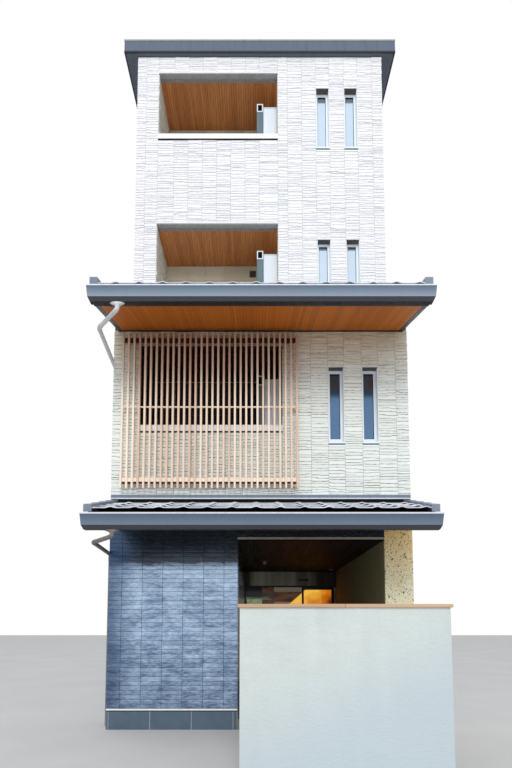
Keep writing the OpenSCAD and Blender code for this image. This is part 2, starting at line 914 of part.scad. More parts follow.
// One downpipe: out of the gutter's foot, back round the corner and down the left wall, with a
// funnel at the outlet, a socket below the bend and straps down the wall.
module downpipe(lip, down_y) {
    wall_x = -half - pipe_off;
    outlet_x = -half + outlet_in;
    top = lip - gutter_foot;
    bend_z = top - outlet_h - 2 * pipe_fall;
    tube_down([
        [outlet_x, pipe_y, top],
        [outlet_x, pipe_y, top - outlet_h],
        [wall_x + pipe_kick_x, front - pipe_kick_y, top - outlet_h - pipe_fall],
        [wall_x, down_y, bend_z],
        [wall_x, down_y, pipe_foot]
    ], pipe_d);
    translate([outlet_x, pipe_y, top - outlet_h / 3])
        cylinder(d1 = pipe_d + strap_t, d2 = pipe_d + 4 * strap_t, h = outlet_h / 3);
    translate([wall_x, down_y, bend_z - 2 * socket_h])
        cylinder(d = pipe_d + 2 * strap_t, h = socket_h);
    for (z = [strap_pitch / 2:strap_pitch:bend_z - 4 * socket_h])
        pipe_strap(wall_x, down_y, z);
}

module downpipes() {
    color("silver") {
        downpipe(upper_lip_z, front + lower_pipe_in + pipe_apart);
        downpipe(lower_lip_z, front + lower_pipe_in);
    }
}

roof_x = half + top_side_over;
roof_y0 = upper_front - top_front_over;
roof_y1 = rear + top_rear_over;

// The nearly flat top roof, which falls to the rear.
module top_roof() {
    color("gray")
        along_x([-roof_x, roof_x], [
            [roof_y0, wall_top],
            [roof_y1, wall_top],
            [roof_y1, wall_top + top_roof_h - top_roof_fall],
            [roof_y0, wall_top + top_roof_h]
        ]);
}

// The metal edge along the front and both sides of the top roof.
module top_roof_fascia() {
    color("slategray")
        difference() {
            block([-roof_x - fascia_t, roof_x + fascia_t], [roof_y0 - fascia_t, roof_y1],
                span(wall_top, top_edge_h));
            block([-roof_x, roof_x], [roof_y0, roof_y1 + CUT],
                span(wall_top - CUT, top_edge_h + 2 * CUT));
        }
}

screen_x0 = -half + screen_left;
screen_y0 = front - screen_out;

module screen_wall() {
    color("beige")
        block([screen_x0, screen_x0 + screen_w], [screen_y0, screen_y0 + screen_t],
            [0, screen_h]);
}

module screen_wall_cap() {
    color("peru")
        eased_bar(span(screen_x0 - screen_cap_over, screen_w + 2 * screen_cap_over),
            span(screen_y0 - screen_cap_over, screen_t + 2 * screen_cap_over),
            span(screen_h, screen_cap_t), screen_cap_ease);
}

ground_slab();
stone_skirting();
tiled_front_wall();
porch_left_wall();
porch_right_wall();
stone_pier();
porch_lintel();
porch_ceiling();
entrance_frame();
transom_panel();
entrance_glass();
entrance_door_leaf();
entrance_door_glass();
upper_floor(2);  // second_floor
upper_floor(3);  // third_floor
upper_floor(4);  // fourth_floor
second_front_wall();
upper_front_wall();
side_wall([-half, -inner_half], front + wall_t);  // side_wall_left
side_wall([inner_half, half], front + pier_d);  // side_wall_right
rear_wall();
balcony_walls();
balcony_ceilings();
balcony_caps();
balcony_cabinets();
balcony_ducts();
lattice_screen();
lattice_brackets();
window_frames();
window_glass();
window_sills();
lower_roof_deck();
lower_roof_tiles();
upper_roof_deck();
upper_roof_soffit();
upper_roof_tiles();
verge_caps();
eave_fascias();
eave_gutters();
roof_flashings();
downpipes();
top_roof();
top_roof_fascia();
screen_wall();
screen_wall_cap();
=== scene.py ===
"""Looks of the four-storey townhouse: finishes, small parts, light and camera.

Sizes are metres in the part's own frame: +X to the right from the street, +Y into the house
and +Z up, with the origin on the ground at the middle of the plan. Colours are given as they
look on a screen, from 0 to 255.
"""

import math
import random
from itertools import product

import bmesh
import bpy
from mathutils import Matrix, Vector


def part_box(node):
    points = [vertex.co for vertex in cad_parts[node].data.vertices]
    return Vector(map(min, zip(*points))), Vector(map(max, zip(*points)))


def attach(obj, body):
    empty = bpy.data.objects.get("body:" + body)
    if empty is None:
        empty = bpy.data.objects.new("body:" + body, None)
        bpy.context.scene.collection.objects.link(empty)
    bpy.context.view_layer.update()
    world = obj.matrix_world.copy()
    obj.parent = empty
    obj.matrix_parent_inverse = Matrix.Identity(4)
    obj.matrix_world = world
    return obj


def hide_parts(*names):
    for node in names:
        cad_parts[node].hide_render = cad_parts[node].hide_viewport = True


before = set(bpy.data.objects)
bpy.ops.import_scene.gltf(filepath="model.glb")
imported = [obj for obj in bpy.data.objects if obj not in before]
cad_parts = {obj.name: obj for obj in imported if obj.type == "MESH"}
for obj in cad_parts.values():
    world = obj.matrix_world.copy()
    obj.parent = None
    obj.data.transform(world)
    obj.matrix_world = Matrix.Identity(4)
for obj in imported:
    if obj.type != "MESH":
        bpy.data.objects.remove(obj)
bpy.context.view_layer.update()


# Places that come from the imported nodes.
def low(node):
    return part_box(node)[0]


def high(node):
    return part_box(node)[1]


# Sizes that many parts share: a gap that keeps faces apart, an eased edge and a board.
HAIR = 0.0005
EASE = 0.002
BOARD_T = 0.02

LEVEL = {
    1: high("ground_slab").z,
    2: high("second_floor").z,
    3: high("third_floor").z,
    4: high("fourth_floor").z,
}
UPSTAIRS = (2, 3, 4)
HALF = high("second_front_wall").x
FRONT = low("second_front_wall").y
UPPER = low("upper_front_wall").y
REAR = high("rear_wall").y
WALL_TOP = high("upper_front_wall").z
SIDING_TOP = WALL_TOP - 0.004
WALL_T = REAR - low("rear_wall").y
RISE = math.tan(math.radians(16.4))

# The three balcony openings.
RECESS_X0 = low("balcony_caps").x
RECESS_X1 = high("balcony_caps").x
PARAPET = high("balcony_caps").z - LEVEL[4]
CAP_H = low("balcony_caps").z - (LEVEL[2] + PARAPET)
HEAD = low("balcony_ceilings").z - LEVEL[2] + BOARD_T
RECESS_DEEP = high("balcony_ceilings").y - UPPER

# The slot windows.
SLOT_W = 0.25
SLOT_X = (low("window_frames").x, high("window_frames").x - SLOT_W)
SLOT_SILL = low("window_frames").z - LEVEL[1]
SLOT_H = high("window_frames").z - LEVEL[4] - SLOT_SILL
SILL_T = 0.03

# The ground storey's street side.
PORCH_X0 = high("tiled_front_wall").x
PORCH_X1 = low("porch_right_wall").x
PORCH_HEAD = low("porch_lintel").z
PORCH_BACK = low("entrance_frame").y
PIER_X0 = low("stone_pier").x

# The gutters, the upper one first, and their outlet.
GUTTER_H, GUTTER_CHAMFER_H = 0.155, 0.052
GUTTER_LEAN, GUTTER_CHAMFER_W = 0.015, 0.025
GUTTER_FOOT = GUTTER_H + GUTTER_CHAMFER_H
GUTTER_LIPS = (high("eave_gutters").z, low("eave_gutters").z + GUTTER_FOOT)
OUTLET_X = -HALF + 0.375
OUTLET_Y = high("eave_gutters").y - 0.038


def face_of(storey):
    """The street face of a storey."""
    return UPPER if storey > 2 else FRONT


def under_slope(node, y):
    """Height of a sloping node's underside at a depth."""
    corner = low(node)
    return corner.z + RISE * (y - corner.y)


def over_slope(node, y):
    """Height of a sloping node's top at a depth."""
    corner = high(node)
    return corner.z - RISE * (corner.y - y)


def under_soffit(y):
    return under_slope("upper_roof_soffit", y)


def steps(start, end, count):
    """Places from start to end in equal steps."""
    return [start + (end - start) * i / count for i in range(count + 1)]


def neighbours(places):
    """The stretches between places."""
    return list(zip(places, places[1:]))


def bays(start, end, count):
    """Equal stretches from start to end."""
    return neighbours(steps(start, end, count))


# Building meshes.
class Shape:
    """The vertices and faces of a piece, with a tone for each face: 0 to 1, or less for painted shade at a
    stone's foot.
    """

    def __init__(self):
        self.verts, self.faces, self.tones = [], [], []

    def add(self, verts, faces, tone=0.5):
        base = len(self.verts)
        self.verts.extend(verts)
        self.faces.extend(tuple(base + i for i in face) for face in faces)
        self.tones.extend([tone] * len(faces))


def show(name, data):
    """An object in the scene for a mesh, a lamp or a camera."""
    made = bpy.data.objects.new(name, data)
    bpy.context.scene.collection.objects.link(made)
    return made


def piece(name, shape, look, replaces=(), smooth=None):
    """Makes a closed mesh ride on the house, with its look and the CAD nodes that it stands for.

    smooth is the angle in degrees above which an edge stays sharp.
    """
    mesh = bpy.data.meshes.new(name)
    mesh.from_pydata(shape.verts, [], shape.faces)
    mesh.attributes.new("tone", "FLOAT", "FACE").data.foreach_set("value", shape.tones)
    work = bmesh.new()
    work.from_mesh(mesh)
    bmesh.ops.recalc_face_normals(work, faces=work.faces)
    work.to_mesh(mesh)
    work.free()
    if smooth is not None:
        mesh.shade_smooth()
        mesh.set_sharp_from_angle(angle=math.radians(smooth))
    mesh.materials.append(LOOK[look])
    made = show(name, mesh)
    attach(made, "house")
    if replaces:
        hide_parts(*replaces)


def block(shape, start, end, chamfer=EASE, tone=0.5):
    """A box with chamfered edges between two corners."""
    centre = [(a + b) / 2 for a, b in zip(start, end)]
    half = [abs(b - a) / 2 for a, b in zip(start, end)]
    cut = min(chamfer, min(half) * 0.9)
    index, verts, faces = {}, [], []
    for corner in product((-1, 1), repeat=3):
        for axis in range(3):
            index[corner, axis] = len(verts)
            verts.append(tuple(centre[k] + corner[k] * (half[k] - cut * (k != axis)) for k in range(3)))
        faces.append([index[corner, axis] for axis in range(3)])
    for axis in range(3):
        def turned_to(*signs):
            return tuple(signs[(k - axis) % 3] for k in range(3))

        b, c = (axis + 1) % 3, (axis + 2) % 3
        for side in (-1, 1):
            ring = ((-1, -1), (1, -1), (1, 1), (-1, 1))
            faces.append([index[turned_to(side, *signs), axis] for signs in ring])
        for signs in product((-1, 1), repeat=2):
            first, last = turned_to(-1, *signs), turned_to(1, *signs)
            faces.append([index[first, b], index[first, c], index[last, c], index[last, b]])
    shape.add(verts, faces, tone)


def bar(name, look, start, end, chamfer=EASE):
    """A piece that is one block."""
    shape = Shape()
    block(shape, start, end, chamfer)
    piece(name, shape, look)


def facing(axis, at, out):
    """Turns (along, out, up) on an upright face into a point."""
    if axis == "x":
        return lambda u, d, z: (at + out * d, u, z)
    return lambda u, d, z: (u, at + out * d, z)


def slab(shape, place, across, out, up, chamfer=EASE, tone=0.5):
    """A block given by its stretches along, out of and up a wall."""
    ends = list(zip(place(across[0], out[0], up[0]), place(across[1], out[1], up[1])))
    block(shape, [min(end) for end in ends], [max(end) for end in ends], chamfer, tone)


def loft(shape, rings, tone=0.5):
    """Joins rings of equal length into a closed tube with flat ends."""
    n = len(rings[0])
    verts = [tuple(point) for ring in rings for point in ring]
    faces = [
        (k * n + i, k * n + (i + 1) % n, (k + 1) * n + (i + 1) % n, (k + 1) * n + i)
        for k in range(len(rings) - 1) for i in range(n)
    ]
    faces += [tuple(range(n)), tuple((len(rings) - 1) * n + i for i in range(n))]
    shape.add(verts, faces, tone)


def sweep_x(shape, places, outline, tone=0.5):
    """A form along x with one outline in (depth, height)."""
    loft(shape, [[(x, y, z) for y, z in outline] for x in places], tone)


def sweep_y(shape, places, outline, tone=0.5):
    """A form in depth, whose outline in (x, height) is worked out at each place."""
    loft(shape, [[(x, y, z) for x, z in outline(y)] for y in places], tone)


def level(heights, across):
    """Rows for relief that keep one height."""
    return [[height] * len(across) for height in heights]


def relief(shape, place, across, rows, depth, tone=0.5, back=-0.002, foot_tones=()):
    """A closed block on a wall, with a grid at given depths for its front.

    place turns (along, out, up) into a point, across holds the places along the wall, each row
    holds one height for each of them, and depth gives how far a grid point stands out. The lowest
    row of faces may have tones of its own.
    """
    n, m = len(across), len(rows)
    verts = [place(across[i], depth(i, j), rows[j][i]) for j in range(m) for i in range(n)]
    rim = [(i, 0) for i in range(n)] + [(n - 1, j) for j in range(1, m)]
    rim += [(i, m - 1) for i in range(n - 2, -1, -1)] + [(0, j) for j in range(m - 2, 0, -1)]
    verts += [place(across[i], back, rows[j][i]) for i, j in rim]
    faces = [
        (j * n + i, j * n + i + 1, (j + 1) * n + i + 1, (j + 1) * n + i)
        for j in range(m - 1) for i in range(n - 1)
    ]
    first, count = n * m, len(rim)
    for a in range(count):
        b = (a + 1) % count
        (ia, ja), (ib, jb) = rim[a], rim[b]
        faces.append((ja * n + ia, jb * n + ib, first + b, first + a))
    faces.append(tuple(range(first, first + count)))
    shape.add(verts, faces, tone)
    if foot_tones:
        start = len(shape.tones) - len(faces)
        shape.tones[start:start + n - 1] = foot_tones


def round_route(route, radius, count=5):
    """A route with each corner replaced by a short curve."""
    route = [Vector(point) for point in route]
    points = [route[0]]
    for before, corner, after in zip(route, route[1:], route[2:]):
        start = corner + (before - corner).normalized() * radius
        end = corner + (after - corner).normalized() * radius
        for t in steps(0, 1, count):
            points.append(start * (1 - t) ** 2 + corner * 2 * t * (1 - t) + end * t ** 2)
    return points + [route[-1]]


def tube(shape, route, radius, sides=20):
    """A round tube along a route, mitred at its corners."""
    directions = [(b - a).normalized() for a, b in zip(route, route[1:])]
    side = directions[0].orthogonal().normalized()
    rings = []
    for k, point in enumerate(route):
        before = directions[max(k - 1, 0)]
        after = directions[min(k, len(directions) - 1)]
        axis = (before + after).normalized()
        side = (side - axis * side.dot(axis)).normalized()
        other = axis.cross(side)
        bend = after - before
        lean = bend.normalized() if bend.length > 1e-6 else None
        stretch = 1 / max(axis.dot(before), 0.5)
        ring = []
        for i in range(sides):
            angle = 2 * math.pi * i / sides
            offset = (side * math.cos(angle) + other * math.sin(angle)) * radius
            if lean is not None:
                offset += lean * offset.dot(lean) * (stretch - 1)
            ring.append(point + offset)
        rings.append(ring)
    loft(shape, rings)


def turned(shape, centre, profile, sides=24):
    """A closed upright round form from (rise, radius) pairs.

    A third value, where there is one, is the radius in depth.
    """
    x, y, z = centre
    angles = [2 * math.pi * i / sides for i in range(sides)]
    loft(shape, [
        [(x + radii[0] * math.cos(a), y + radii[-1] * math.sin(a), z + rise) for a in angles]
        for rise, *radii in profile
    ])


# Finishes.
def rgb(red, green, blue, share=1.0):
    """A screen colour as linear light, or a share of it."""
    def linear(value):
        value /= 255
        return share * (value / 12.92 if value <= 0.04045 else ((value + 0.055) / 1.055) ** 2.4)
    return (linear(red), linear(green), linear(blue), 1.0)


class Finish:
    """A material whose colour, dullness and bump come from nodes in object space."""

    def __init__(self, name, **sockets):
        self.material = bpy.data.materials.new(name)
        self.material.use_nodes = True
        self.nodes = self.material.node_tree.nodes
        self.links = self.material.node_tree.links
        self.shader = self.nodes["Principled BSDF"]
        for socket, value in sockets.items():
            self.shader.inputs[socket.replace("_", " ")].default_value = value
        self.place = self.nodes.new("ShaderNodeTexCoord").outputs["Object"]

    def node(self, kind, inputs=(), **settings):
        made = self.nodes.new("ShaderNode" + kind)
        for key, value in settings.items():
            setattr(made, key, value)
        for key, value in dict(inputs).items():
            if isinstance(value, bpy.types.NodeSocket):
                self.links.new(value, made.inputs[key])
            else:
                made.inputs[key].default_value = value
        return made

    def noise(self, scale, detail=4.0, stretch=(1, 1, 1), roughness=0.55):
        """Noise in object space, stretched along the axes."""
        place = self.node("Mapping", {"Vector": self.place, "Scale": stretch}).outputs[0]
        return self.node("TexNoise", {
            "Vector": place, "Scale": scale, "Detail": detail, "Roughness": roughness,
        }).outputs["Fac"]

    def cells(self, scale):
        return self.node("TexVoronoi", {"Vector": self.place, "Scale": scale}).outputs["Distance"]

    def tone(self):
        return self.node("Attribute", attribute_name="tone").outputs["Fac"]

    def along(self, axis):
        """The place along X, Y or Z."""
        return self.node("SeparateXYZ", {0: self.place}).outputs[axis]

    def downward(self, start, end):
        """Runs from 0 to 1 as a face turns to look down."""
        normal = self.node("NewGeometry").outputs["Normal"]
        return self.band(self.node("SeparateXYZ", {0: normal}).outputs["Z"], -start, -end)

    def math(self, operation, a, b):
        return self.node("Math", {0: a, 1: b}, operation=operation).outputs[0]

    def times(self, a, b):
        return self.math("MULTIPLY", a, b)

    def weigh(self, *parts):
        """The sum of sources times their weights."""
        total = None
        for source, weight in parts:
            part = self.times(source, weight)
            total = part if total is None else self.math("ADD", total, part)
        return total

    def band(self, source, start, end):
        """Runs from 0 to 1 while the source goes from start to end."""
        return self.node("MapRange", {
            "Value": source, "From Min": start, "From Max": end,
        }).outputs["Result"]

    def ramp(self, source, *stops):
        """Colours by the source; a stop may end with the share of its colour."""
        made = self.node("ValToRGB", {"Fac": source})
        elements = made.color_ramp.elements
        while len(elements) < len(stops):
            elements.new(0.5)
        for element, (at, colour, *share) in zip(elements, stops):
            element.position, element.color = at, rgb(*colour, *share)
        return made.outputs["Color"]

    def blend(self, share, first, second):
        """Mixes two colours, each a socket or a screen colour."""
        first, second = (rgb(*c) if isinstance(c, tuple) else c for c in (first, second))
        return self.node("MixRGB", {"Fac": share, "Color1": first, "Color2": second}).outputs[0]

    def done(self, colour, dull=None, height=None, distance=0.0, strength=1.0, glow=0.0):
        """Wires the shader and hands over the material."""
        wires = {"Base Color": colour}
        if dull is not None:
            wires["Roughness"] = dull
        if height is not None:
            wires["Normal"] = self.node("Bump", {
                "Height": height, "Distance": distance, "Strength": strength,
            }).outputs[0]
        if glow:
            wires["Emission Color"] = colour
            self.shader.inputs["Emission Strength"].default_value = glow
        for socket, source in wires.items():
            self.links.new(source, self.shader.inputs[socket])
        return self.material


# How noise is stretched for marks that run down a face, and for level bands.
RUN_DOWN = (1.0, 1.0, 0.12)
LEVEL_BANDS = (1.0, 1.0, 3.0)


def mineral(name, dark, light, scale, bump, roughness=0.85, tone=0.35):
    """A dull stony finish: each stone's own tone, blotches and fine grains."""
    f = Finish(name)
    mix = f.weigh((f.tone(), tone), (f.noise(scale * 0.12), 0.55 - tone * 0.5),
                  (f.noise(scale), 0.45 - tone * 0.5))
    return f.done(f.ramp(mix, (0.25, dark), (0.75, light)),
                  f.band(f.noise(scale * 0.5), roughness - 1.2, roughness + 0.4),
                  f.weigh((f.noise(scale, 6.0), 0.7), (f.noise(scale * 4), 0.3)), bump)


def siding(name, dark, light, foot_shade, eave_z=None):
    """Ceramic siding moulded as split stone, with painted shade on each stone's foot and a warm painted
    shade under an eave.
    """
    f = Finish(name, Specular_IOR_Level=0.3)
    grain = f.noise(80.0, 5.0, (0.7, 0.7, 1.3))
    mix = f.weigh((f.tone(), 0.14), (f.noise(2.2), 0.2), (grain, 0.66))
    # A tone below 0 paints the face towards foot_shade, the painted shade at a stone's foot.
    face = f.blend(f.band(f.tone(), 0.0, -1.0), f.ramp(mix, (0.32, dark), (0.6, light)), foot_shade)
    # Painted warm shade that falls from the eave down the wall.
    if eave_z is not None:
        shade_fall = 0.75
        shaded = f.times(f.band(f.along("Z"), eave_z - shade_fall, eave_z), 0.6)
        face = f.blend(shaded, face, (192, 168, 104))
    rough = f.noise(44.0, 6.0, (0.55, 0.55, 1.5), 0.65)
    return f.done(face, f.band(f.noise(60.0), 0.0, 1.3),
                  f.weigh((rough, 0.8), (f.noise(260.0, 3.0), 0.2)), 0.009)


def timber(name, dark, light, along, scale=9.0, roughness=0.5, tone=0.45, specular=0.5, eave_shade=None):
    """Wood with its grain along one axis, and a tone of its own for each board.

    eave_shade is a colour of painted shade under an eave, and the heights between which the wood turns to
    it.
    """
    f = Finish(name, Specular_IOR_Level=specular)
    own = f.node("CombineXYZ", dict.fromkeys("XYZ", f.times(f.tone(), 13.0))).outputs[0]
    shifted = f.node("VectorMath", {0: f.place, 1: own}, operation="ADD").outputs[0]
    stretch = [0.04 if axis == along else 1.0 for axis in "xyz"]
    grain = f.node("Mapping", {"Vector": shifted, "Scale": stretch}).outputs[0]
    coarse = f.node("TexNoise", {"Vector": grain, "Scale": scale * 4, "Detail": 6.0,
                                 "Distortion": 0.4}).outputs["Fac"]
    fine = f.node("TexNoise", {"Vector": grain, "Scale": scale * 28, "Detail": 3.0}).outputs["Fac"]
    mix = f.weigh((f.tone(), tone), (coarse, 0.75 - tone * 0.5), (fine, 0.35 - tone * 0.5))
    face = f.ramp(mix, (0.28, dark), (0.78, light))
    if eave_shade:
        shade_colour, start_z, end_z = eave_shade
        face = f.blend(f.times(f.band(f.along("Z"), start_z, end_z), 0.75), face, shade_colour)
    return f.done(face, f.band(coarse, 1.0 - 1.6 * roughness, 1.6 - 0.4 * roughness),
                  f.weigh((coarse, 0.5), (fine, 0.5)), 0.0006)


def metal(name, dark, light, metallic, roughness, specular=0.5):
    """Coated sheet metal: slight oil-canning, fine dust and streaks that run down."""
    f = Finish(name, Metallic=metallic, Specular_IOR_Level=specular)
    streaks = f.noise(14.0, 5.0, RUN_DOWN)
    mix = f.weigh((f.tone(), 0.3), (streaks, 0.4), (f.noise(45.0, 5.0), 0.3))
    worn = f.weigh((streaks, 0.5), (f.noise(120.0), 0.5))
    return f.done(f.ramp(mix, (0.3, dark), (0.7, light)),
                  f.band(worn, 0.5 - roughness, 1.5 - roughness),
                  f.weigh((f.noise(2.5, 2.0), 0.9), (f.noise(300.0, 2.0), 0.1)), 0.0004)


def striped_metal(name, dark, light, left_x, right_x):
    """Satin metal with a painted reflection of what stands across the street in stripes, and painted shade
    that darkens both ends.
    """
    f = Finish(name, Metallic=0.9)
    # stripes is the painted reflection.
    stripes = f.noise(4.2, 2.0, (1.0, 1.0, 0.05), 0.7)
    mix = f.weigh((stripes, 0.85), (f.noise(30.0, 4.0), 0.15))
    # Painted shade that darkens both ends.
    across = f.along("X")
    ends = f.math("MAXIMUM", f.band(across, left_x, left_x - 0.04),
                  f.band(across, right_x, right_x + 0.18))
    face = f.blend(f.times(ends, 0.85), f.ramp(mix, (0.35, dark), (0.66, light)), (30, 30, 32))
    return f.done(face, f.band(f.noise(50.0), -0.3, 1.5), f.noise(1.5, 2.0), 0.0004)


def glazed(name, dark, light, foot_z, street_z, eave_z):
    """Lustrous glazed ceramic with painted reflections in cloudy patches, painted shade near black under
    the eave and a painted deep-blue reflection at the house's corner.
    """
    f = Finish(name, Metallic=0.75, Specular_IOR_Level=0.6, Coat_Weight=0.2, Coat_Roughness=0.12)
    ripple = f.noise(34.0, 5.0, (0.4, 0.4, 1.7), 0.62)
    cloud = f.noise(6.0, 4.0, (0.7, 0.7, 1.7), 0.62)
    patch = f.noise(1.4, 2.0)
    low_down = f.band(f.along("Z"), street_z, foot_z)
    # cloud and patch paint reflections into the colour; low_down makes it darker towards the foot.
    mix = f.weigh((f.tone(), 0.06), (ripple, 0.4), (cloud, 0.36), (patch, 0.18), (low_down, -0.08))
    across = f.along("X")
    # Painted deep-blue reflection towards the house's corner.
    corner = f.times(f.band(across, -HALF + 0.42, -HALF + 0.06), 0.7)
    lit = f.blend(corner, f.ramp(mix, (0.34, dark), (0.6, light)), (52, 80, 118))
    # Painted shade under the eave, near black and bluer towards the corner, with a wavy edge.
    wavy = f.weigh((f.along("Z"), 1.0), (cloud, 0.24), (ripple, 0.16))
    shade = f.blend(f.band(across, -HALF + 0.55, -HALF + 0.1), (30, 33, 38), (48, 76, 112))
    return f.done(f.blend(f.times(f.band(wavy, eave_z - 0.08, eave_z), 0.9), lit, shade),
                  f.band(f.weigh((ripple, 0.6), (patch, 0.4)), -0.1, 2.4),
                  f.weigh((ripple, 0.85), (f.noise(120.0, 3.0), 0.15)), 0.0022)


def plaster(name, dark, light, bump=0.0015, damp=None):
    """Trowelled plaster: sweeps, grit and faint stains, with a damp tint low down on the right."""
    f = Finish(name, Specular_IOR_Level=0.25)
    sweep = f.noise(3.2, 5.0, (1.0, 1.0, 2.2), 0.6)
    stain = f.noise(5.0, 4.0, (1.0, 1.0, 0.18))
    mix = f.weigh((sweep, 0.3), (stain, 0.25), (f.noise(160.0, 3.0), 0.45))
    face = f.ramp(mix, (0.3, dark), (0.68, light))
    if damp:
        fall = f.weigh((f.along("Z"), -0.75), (f.along("X"), 0.32), (sweep, 0.6))
        face = f.blend(f.times(f.band(fall, -0.4, 0.3), 0.75), face, damp)
    trowel = f.noise(18.0, 8.0, (0.8, 1.0, 2.2), 0.7)
    return f.done(face, f.band(sweep, -0.9, 0.9), f.weigh((trowel, 0.8), (f.noise(190.0), 0.2)), bump)


def glass(name, low_tint, high_tint, change_z):
    """Mirror-coated double glazing with faint waves and a painted reflection, darker below a height and
    paler above it.
    """
    f = Finish(name, Roughness=0.12, Metallic=0.8, Specular_IOR_Level=0.6)
    wave = f.noise(1.3, 2.0)
    tint = f.blend(f.band(f.along("Z"), change_z - 0.1, change_z + 0.1),
                   f.ramp(wave, (0.3, low_tint, 0.85), (0.7, low_tint)),
                   f.ramp(wave, (0.3, high_tint, 0.93), (0.7, high_tint)))
    return f.done(tint, None, f.noise(1.8, 2.0), 0.002, 0.4)


def room_glass(name, dark, left_x, post_x, head_z, rail_z):
    """Clear glass with a painted dim room that glows faintly as painted light: a pale green screen low
    down, brown wood and a shelf.
    """
    f = Finish(name, Roughness=0.08, Specular_IOR_Level=0.25)
    x, z, edge = f.along("X"), f.along("Z"), 0.005
    wood = f.ramp(f.noise(4.0, 3.0, LEVEL_BANDS), (0.35, (40, 22, 14)), (0.7, (96, 62, 34)))
    green = f.ramp(f.noise(7.0, 3.0, LEVEL_BANDS), (0.3, (88, 112, 78)), (0.7, (170, 196, 158)))
    tint = f.blend(f.band(x, post_x, post_x + edge), dark, wood)
    stripes = f.band(f.noise(20.0, 2.0, (0.05, 0.05, 1.0)), 0.5, 0.56)
    tint = f.blend(f.times(stripes, f.band(z, head_z, head_z - 0.04)), tint, (96, 104, 76))
    low_left = f.times(f.band(x, post_x, post_x - edge), f.band(z, rail_z, rail_z - edge))
    tint = f.blend(f.times(low_left, f.band(x, left_x, left_x + edge)), tint, green)
    return f.done(tint, None, f.noise(2.0, 2.0), 0.001, 0.4, glow=0.5)


def amber_glass(name, meet_x, edge_z, top_z, shelf_z, beam_z):
    """Glass that glows with a painted pool of lamplight on a wall behind it, which ends in a slanting edge
    at its upper left.
    """
    f = Finish(name, Roughness=0.25, Specular_IOR_Level=0.3)
    across, rise, edge = f.math("SUBTRACT", f.along("X"), meet_x), f.along("Z"), 0.005
    slant = f.math("MINIMUM", f.math("ADD", f.times(across, 0.88), edge_z), top_z)
    lit = f.band(f.math("SUBTRACT", slant, rise), -0.008, 0.03)
    share = f.weigh((f.band(across, 0.15, 1.15), -0.75), (f.band(rise, 1.7, 2.4), 0.75),
                    (f.noise(4.5, 3.0), 0.75))
    glow = f.ramp(share, (0.1, (104, 40, 10)), (0.42, (214, 118, 16)), (0.78, (255, 196, 74)))
    dim = f.ramp(f.noise(5.0, 3.0, (0.6, 1.0, 3.0)), (0.3, (30, 18, 12)), (0.7, (88, 56, 32)))
    shelf = f.times(f.band(rise, shelf_z, shelf_z - edge), f.band(rise, shelf_z - 0.04, shelf_z - 0.035))
    dim = f.blend(f.times(shelf, 0.7), dim, (150, 116, 84))
    dim = f.blend(f.times(f.band(rise, beam_z, beam_z + edge), 0.8), dim, (96, 90, 76))
    return f.done(f.blend(lit, dim, glow), glow=0.8)


def pitted(name, dark, light, pit, top, foot_z, top_z):
    """Tuff with dark pits of several sizes, more ochre and brown towards its top."""
    f = Finish(name, Specular_IOR_Level=0.05)
    blotch = f.weigh((f.noise(3.0, 4.0), 0.4), (f.noise(30.0, 6.0), 0.35), (f.noise(140.0), 0.25))
    rise = f.weigh((f.band(f.along("Z"), foot_z, top_z), 0.7), (f.noise(2.2, 3.0), 0.5))
    base = f.blend(f.band(rise, 0.4, 1.0), f.ramp(blotch, (0.36, dark), (0.6, light)), top)
    specks = 0.0
    sizes = ((11.0, 0.2, 0.42, 0.47), (27.0, 0.28, 0.36, 0.46), (60.0, 0.3, 0.36, 0.48))
    for scale, reach, start, end in sizes:
        dot = f.band(f.cells(scale), reach, reach * 0.55)
        specks = f.math("MAXIMUM", f.times(dot, f.band(f.noise(scale * 0.4, 2.0), start, end)), specks)
    return f.done(f.blend(f.times(specks, 0.92), base, pit), f.band(blotch, -1.5, 0.7),
                  f.weigh((f.noise(90.0, 6.0), 0.5), (specks, -0.5)), 0.005)


def kawara(name, dark, light, under):
    """Smoked roof tile: silver-grey, with painted shade that darkens it where it faces down."""
    f = Finish(name, Metallic=0.3, Specular_IOR_Level=0.6)
    mix = f.weigh((f.tone(), 0.14), (f.noise(5.0, 4.0), 0.4), (f.noise(60.0, 5.0), 0.46))
    return f.done(f.blend(f.downward(0.1, 0.7), f.ramp(mix, (0.3, dark), (0.65, light)), under),
                  f.band(f.noise(30.0), -0.1, 1.3),
                  f.weigh((f.noise(45.0, 5.0), 0.7), (f.noise(380.0), 0.3)), 0.006)


def gutter_metal(name, top, foot, chamfer, under):
    """Coated gutter metal with a painted reflection of the paving that makes it lighter towards its foot,
    less of it on the lower gutter, and painted shade on faces that turn down.
    """
    f = Finish(name, Metallic=0.15, Specular_IOR_Level=0.4)
    apart = GUTTER_LIPS[0] - GUTTER_LIPS[1]
    fall = f.math("MODULO", f.math("SUBTRACT", f.along("Z"), GUTTER_LIPS[1] - GUTTER_H), apart)
    # share is the painted reflection of the paving, lighter towards each gutter's foot.
    share = f.weigh((f.band(fall, GUTTER_H, 0.0), 0.9), (f.noise(1.6, 2.0), 0.1))
    share = f.times(share, f.weigh((f.band(f.along("Z"), 4.0, 5.0), 0.55), (0.45, 1.0)))
    # Painted shade on faces that turn down: the chamfer, then the underside.
    face = f.blend(f.downward(0.2, 0.4), f.ramp(share, (0.1, top), (0.9, foot)), chamfer)
    return f.done(f.blend(f.downward(0.6, 0.8), face, under), f.band(f.noise(18.0), -0.3, 1.3),
                  f.noise(1.2, 2.0), 0.0006)


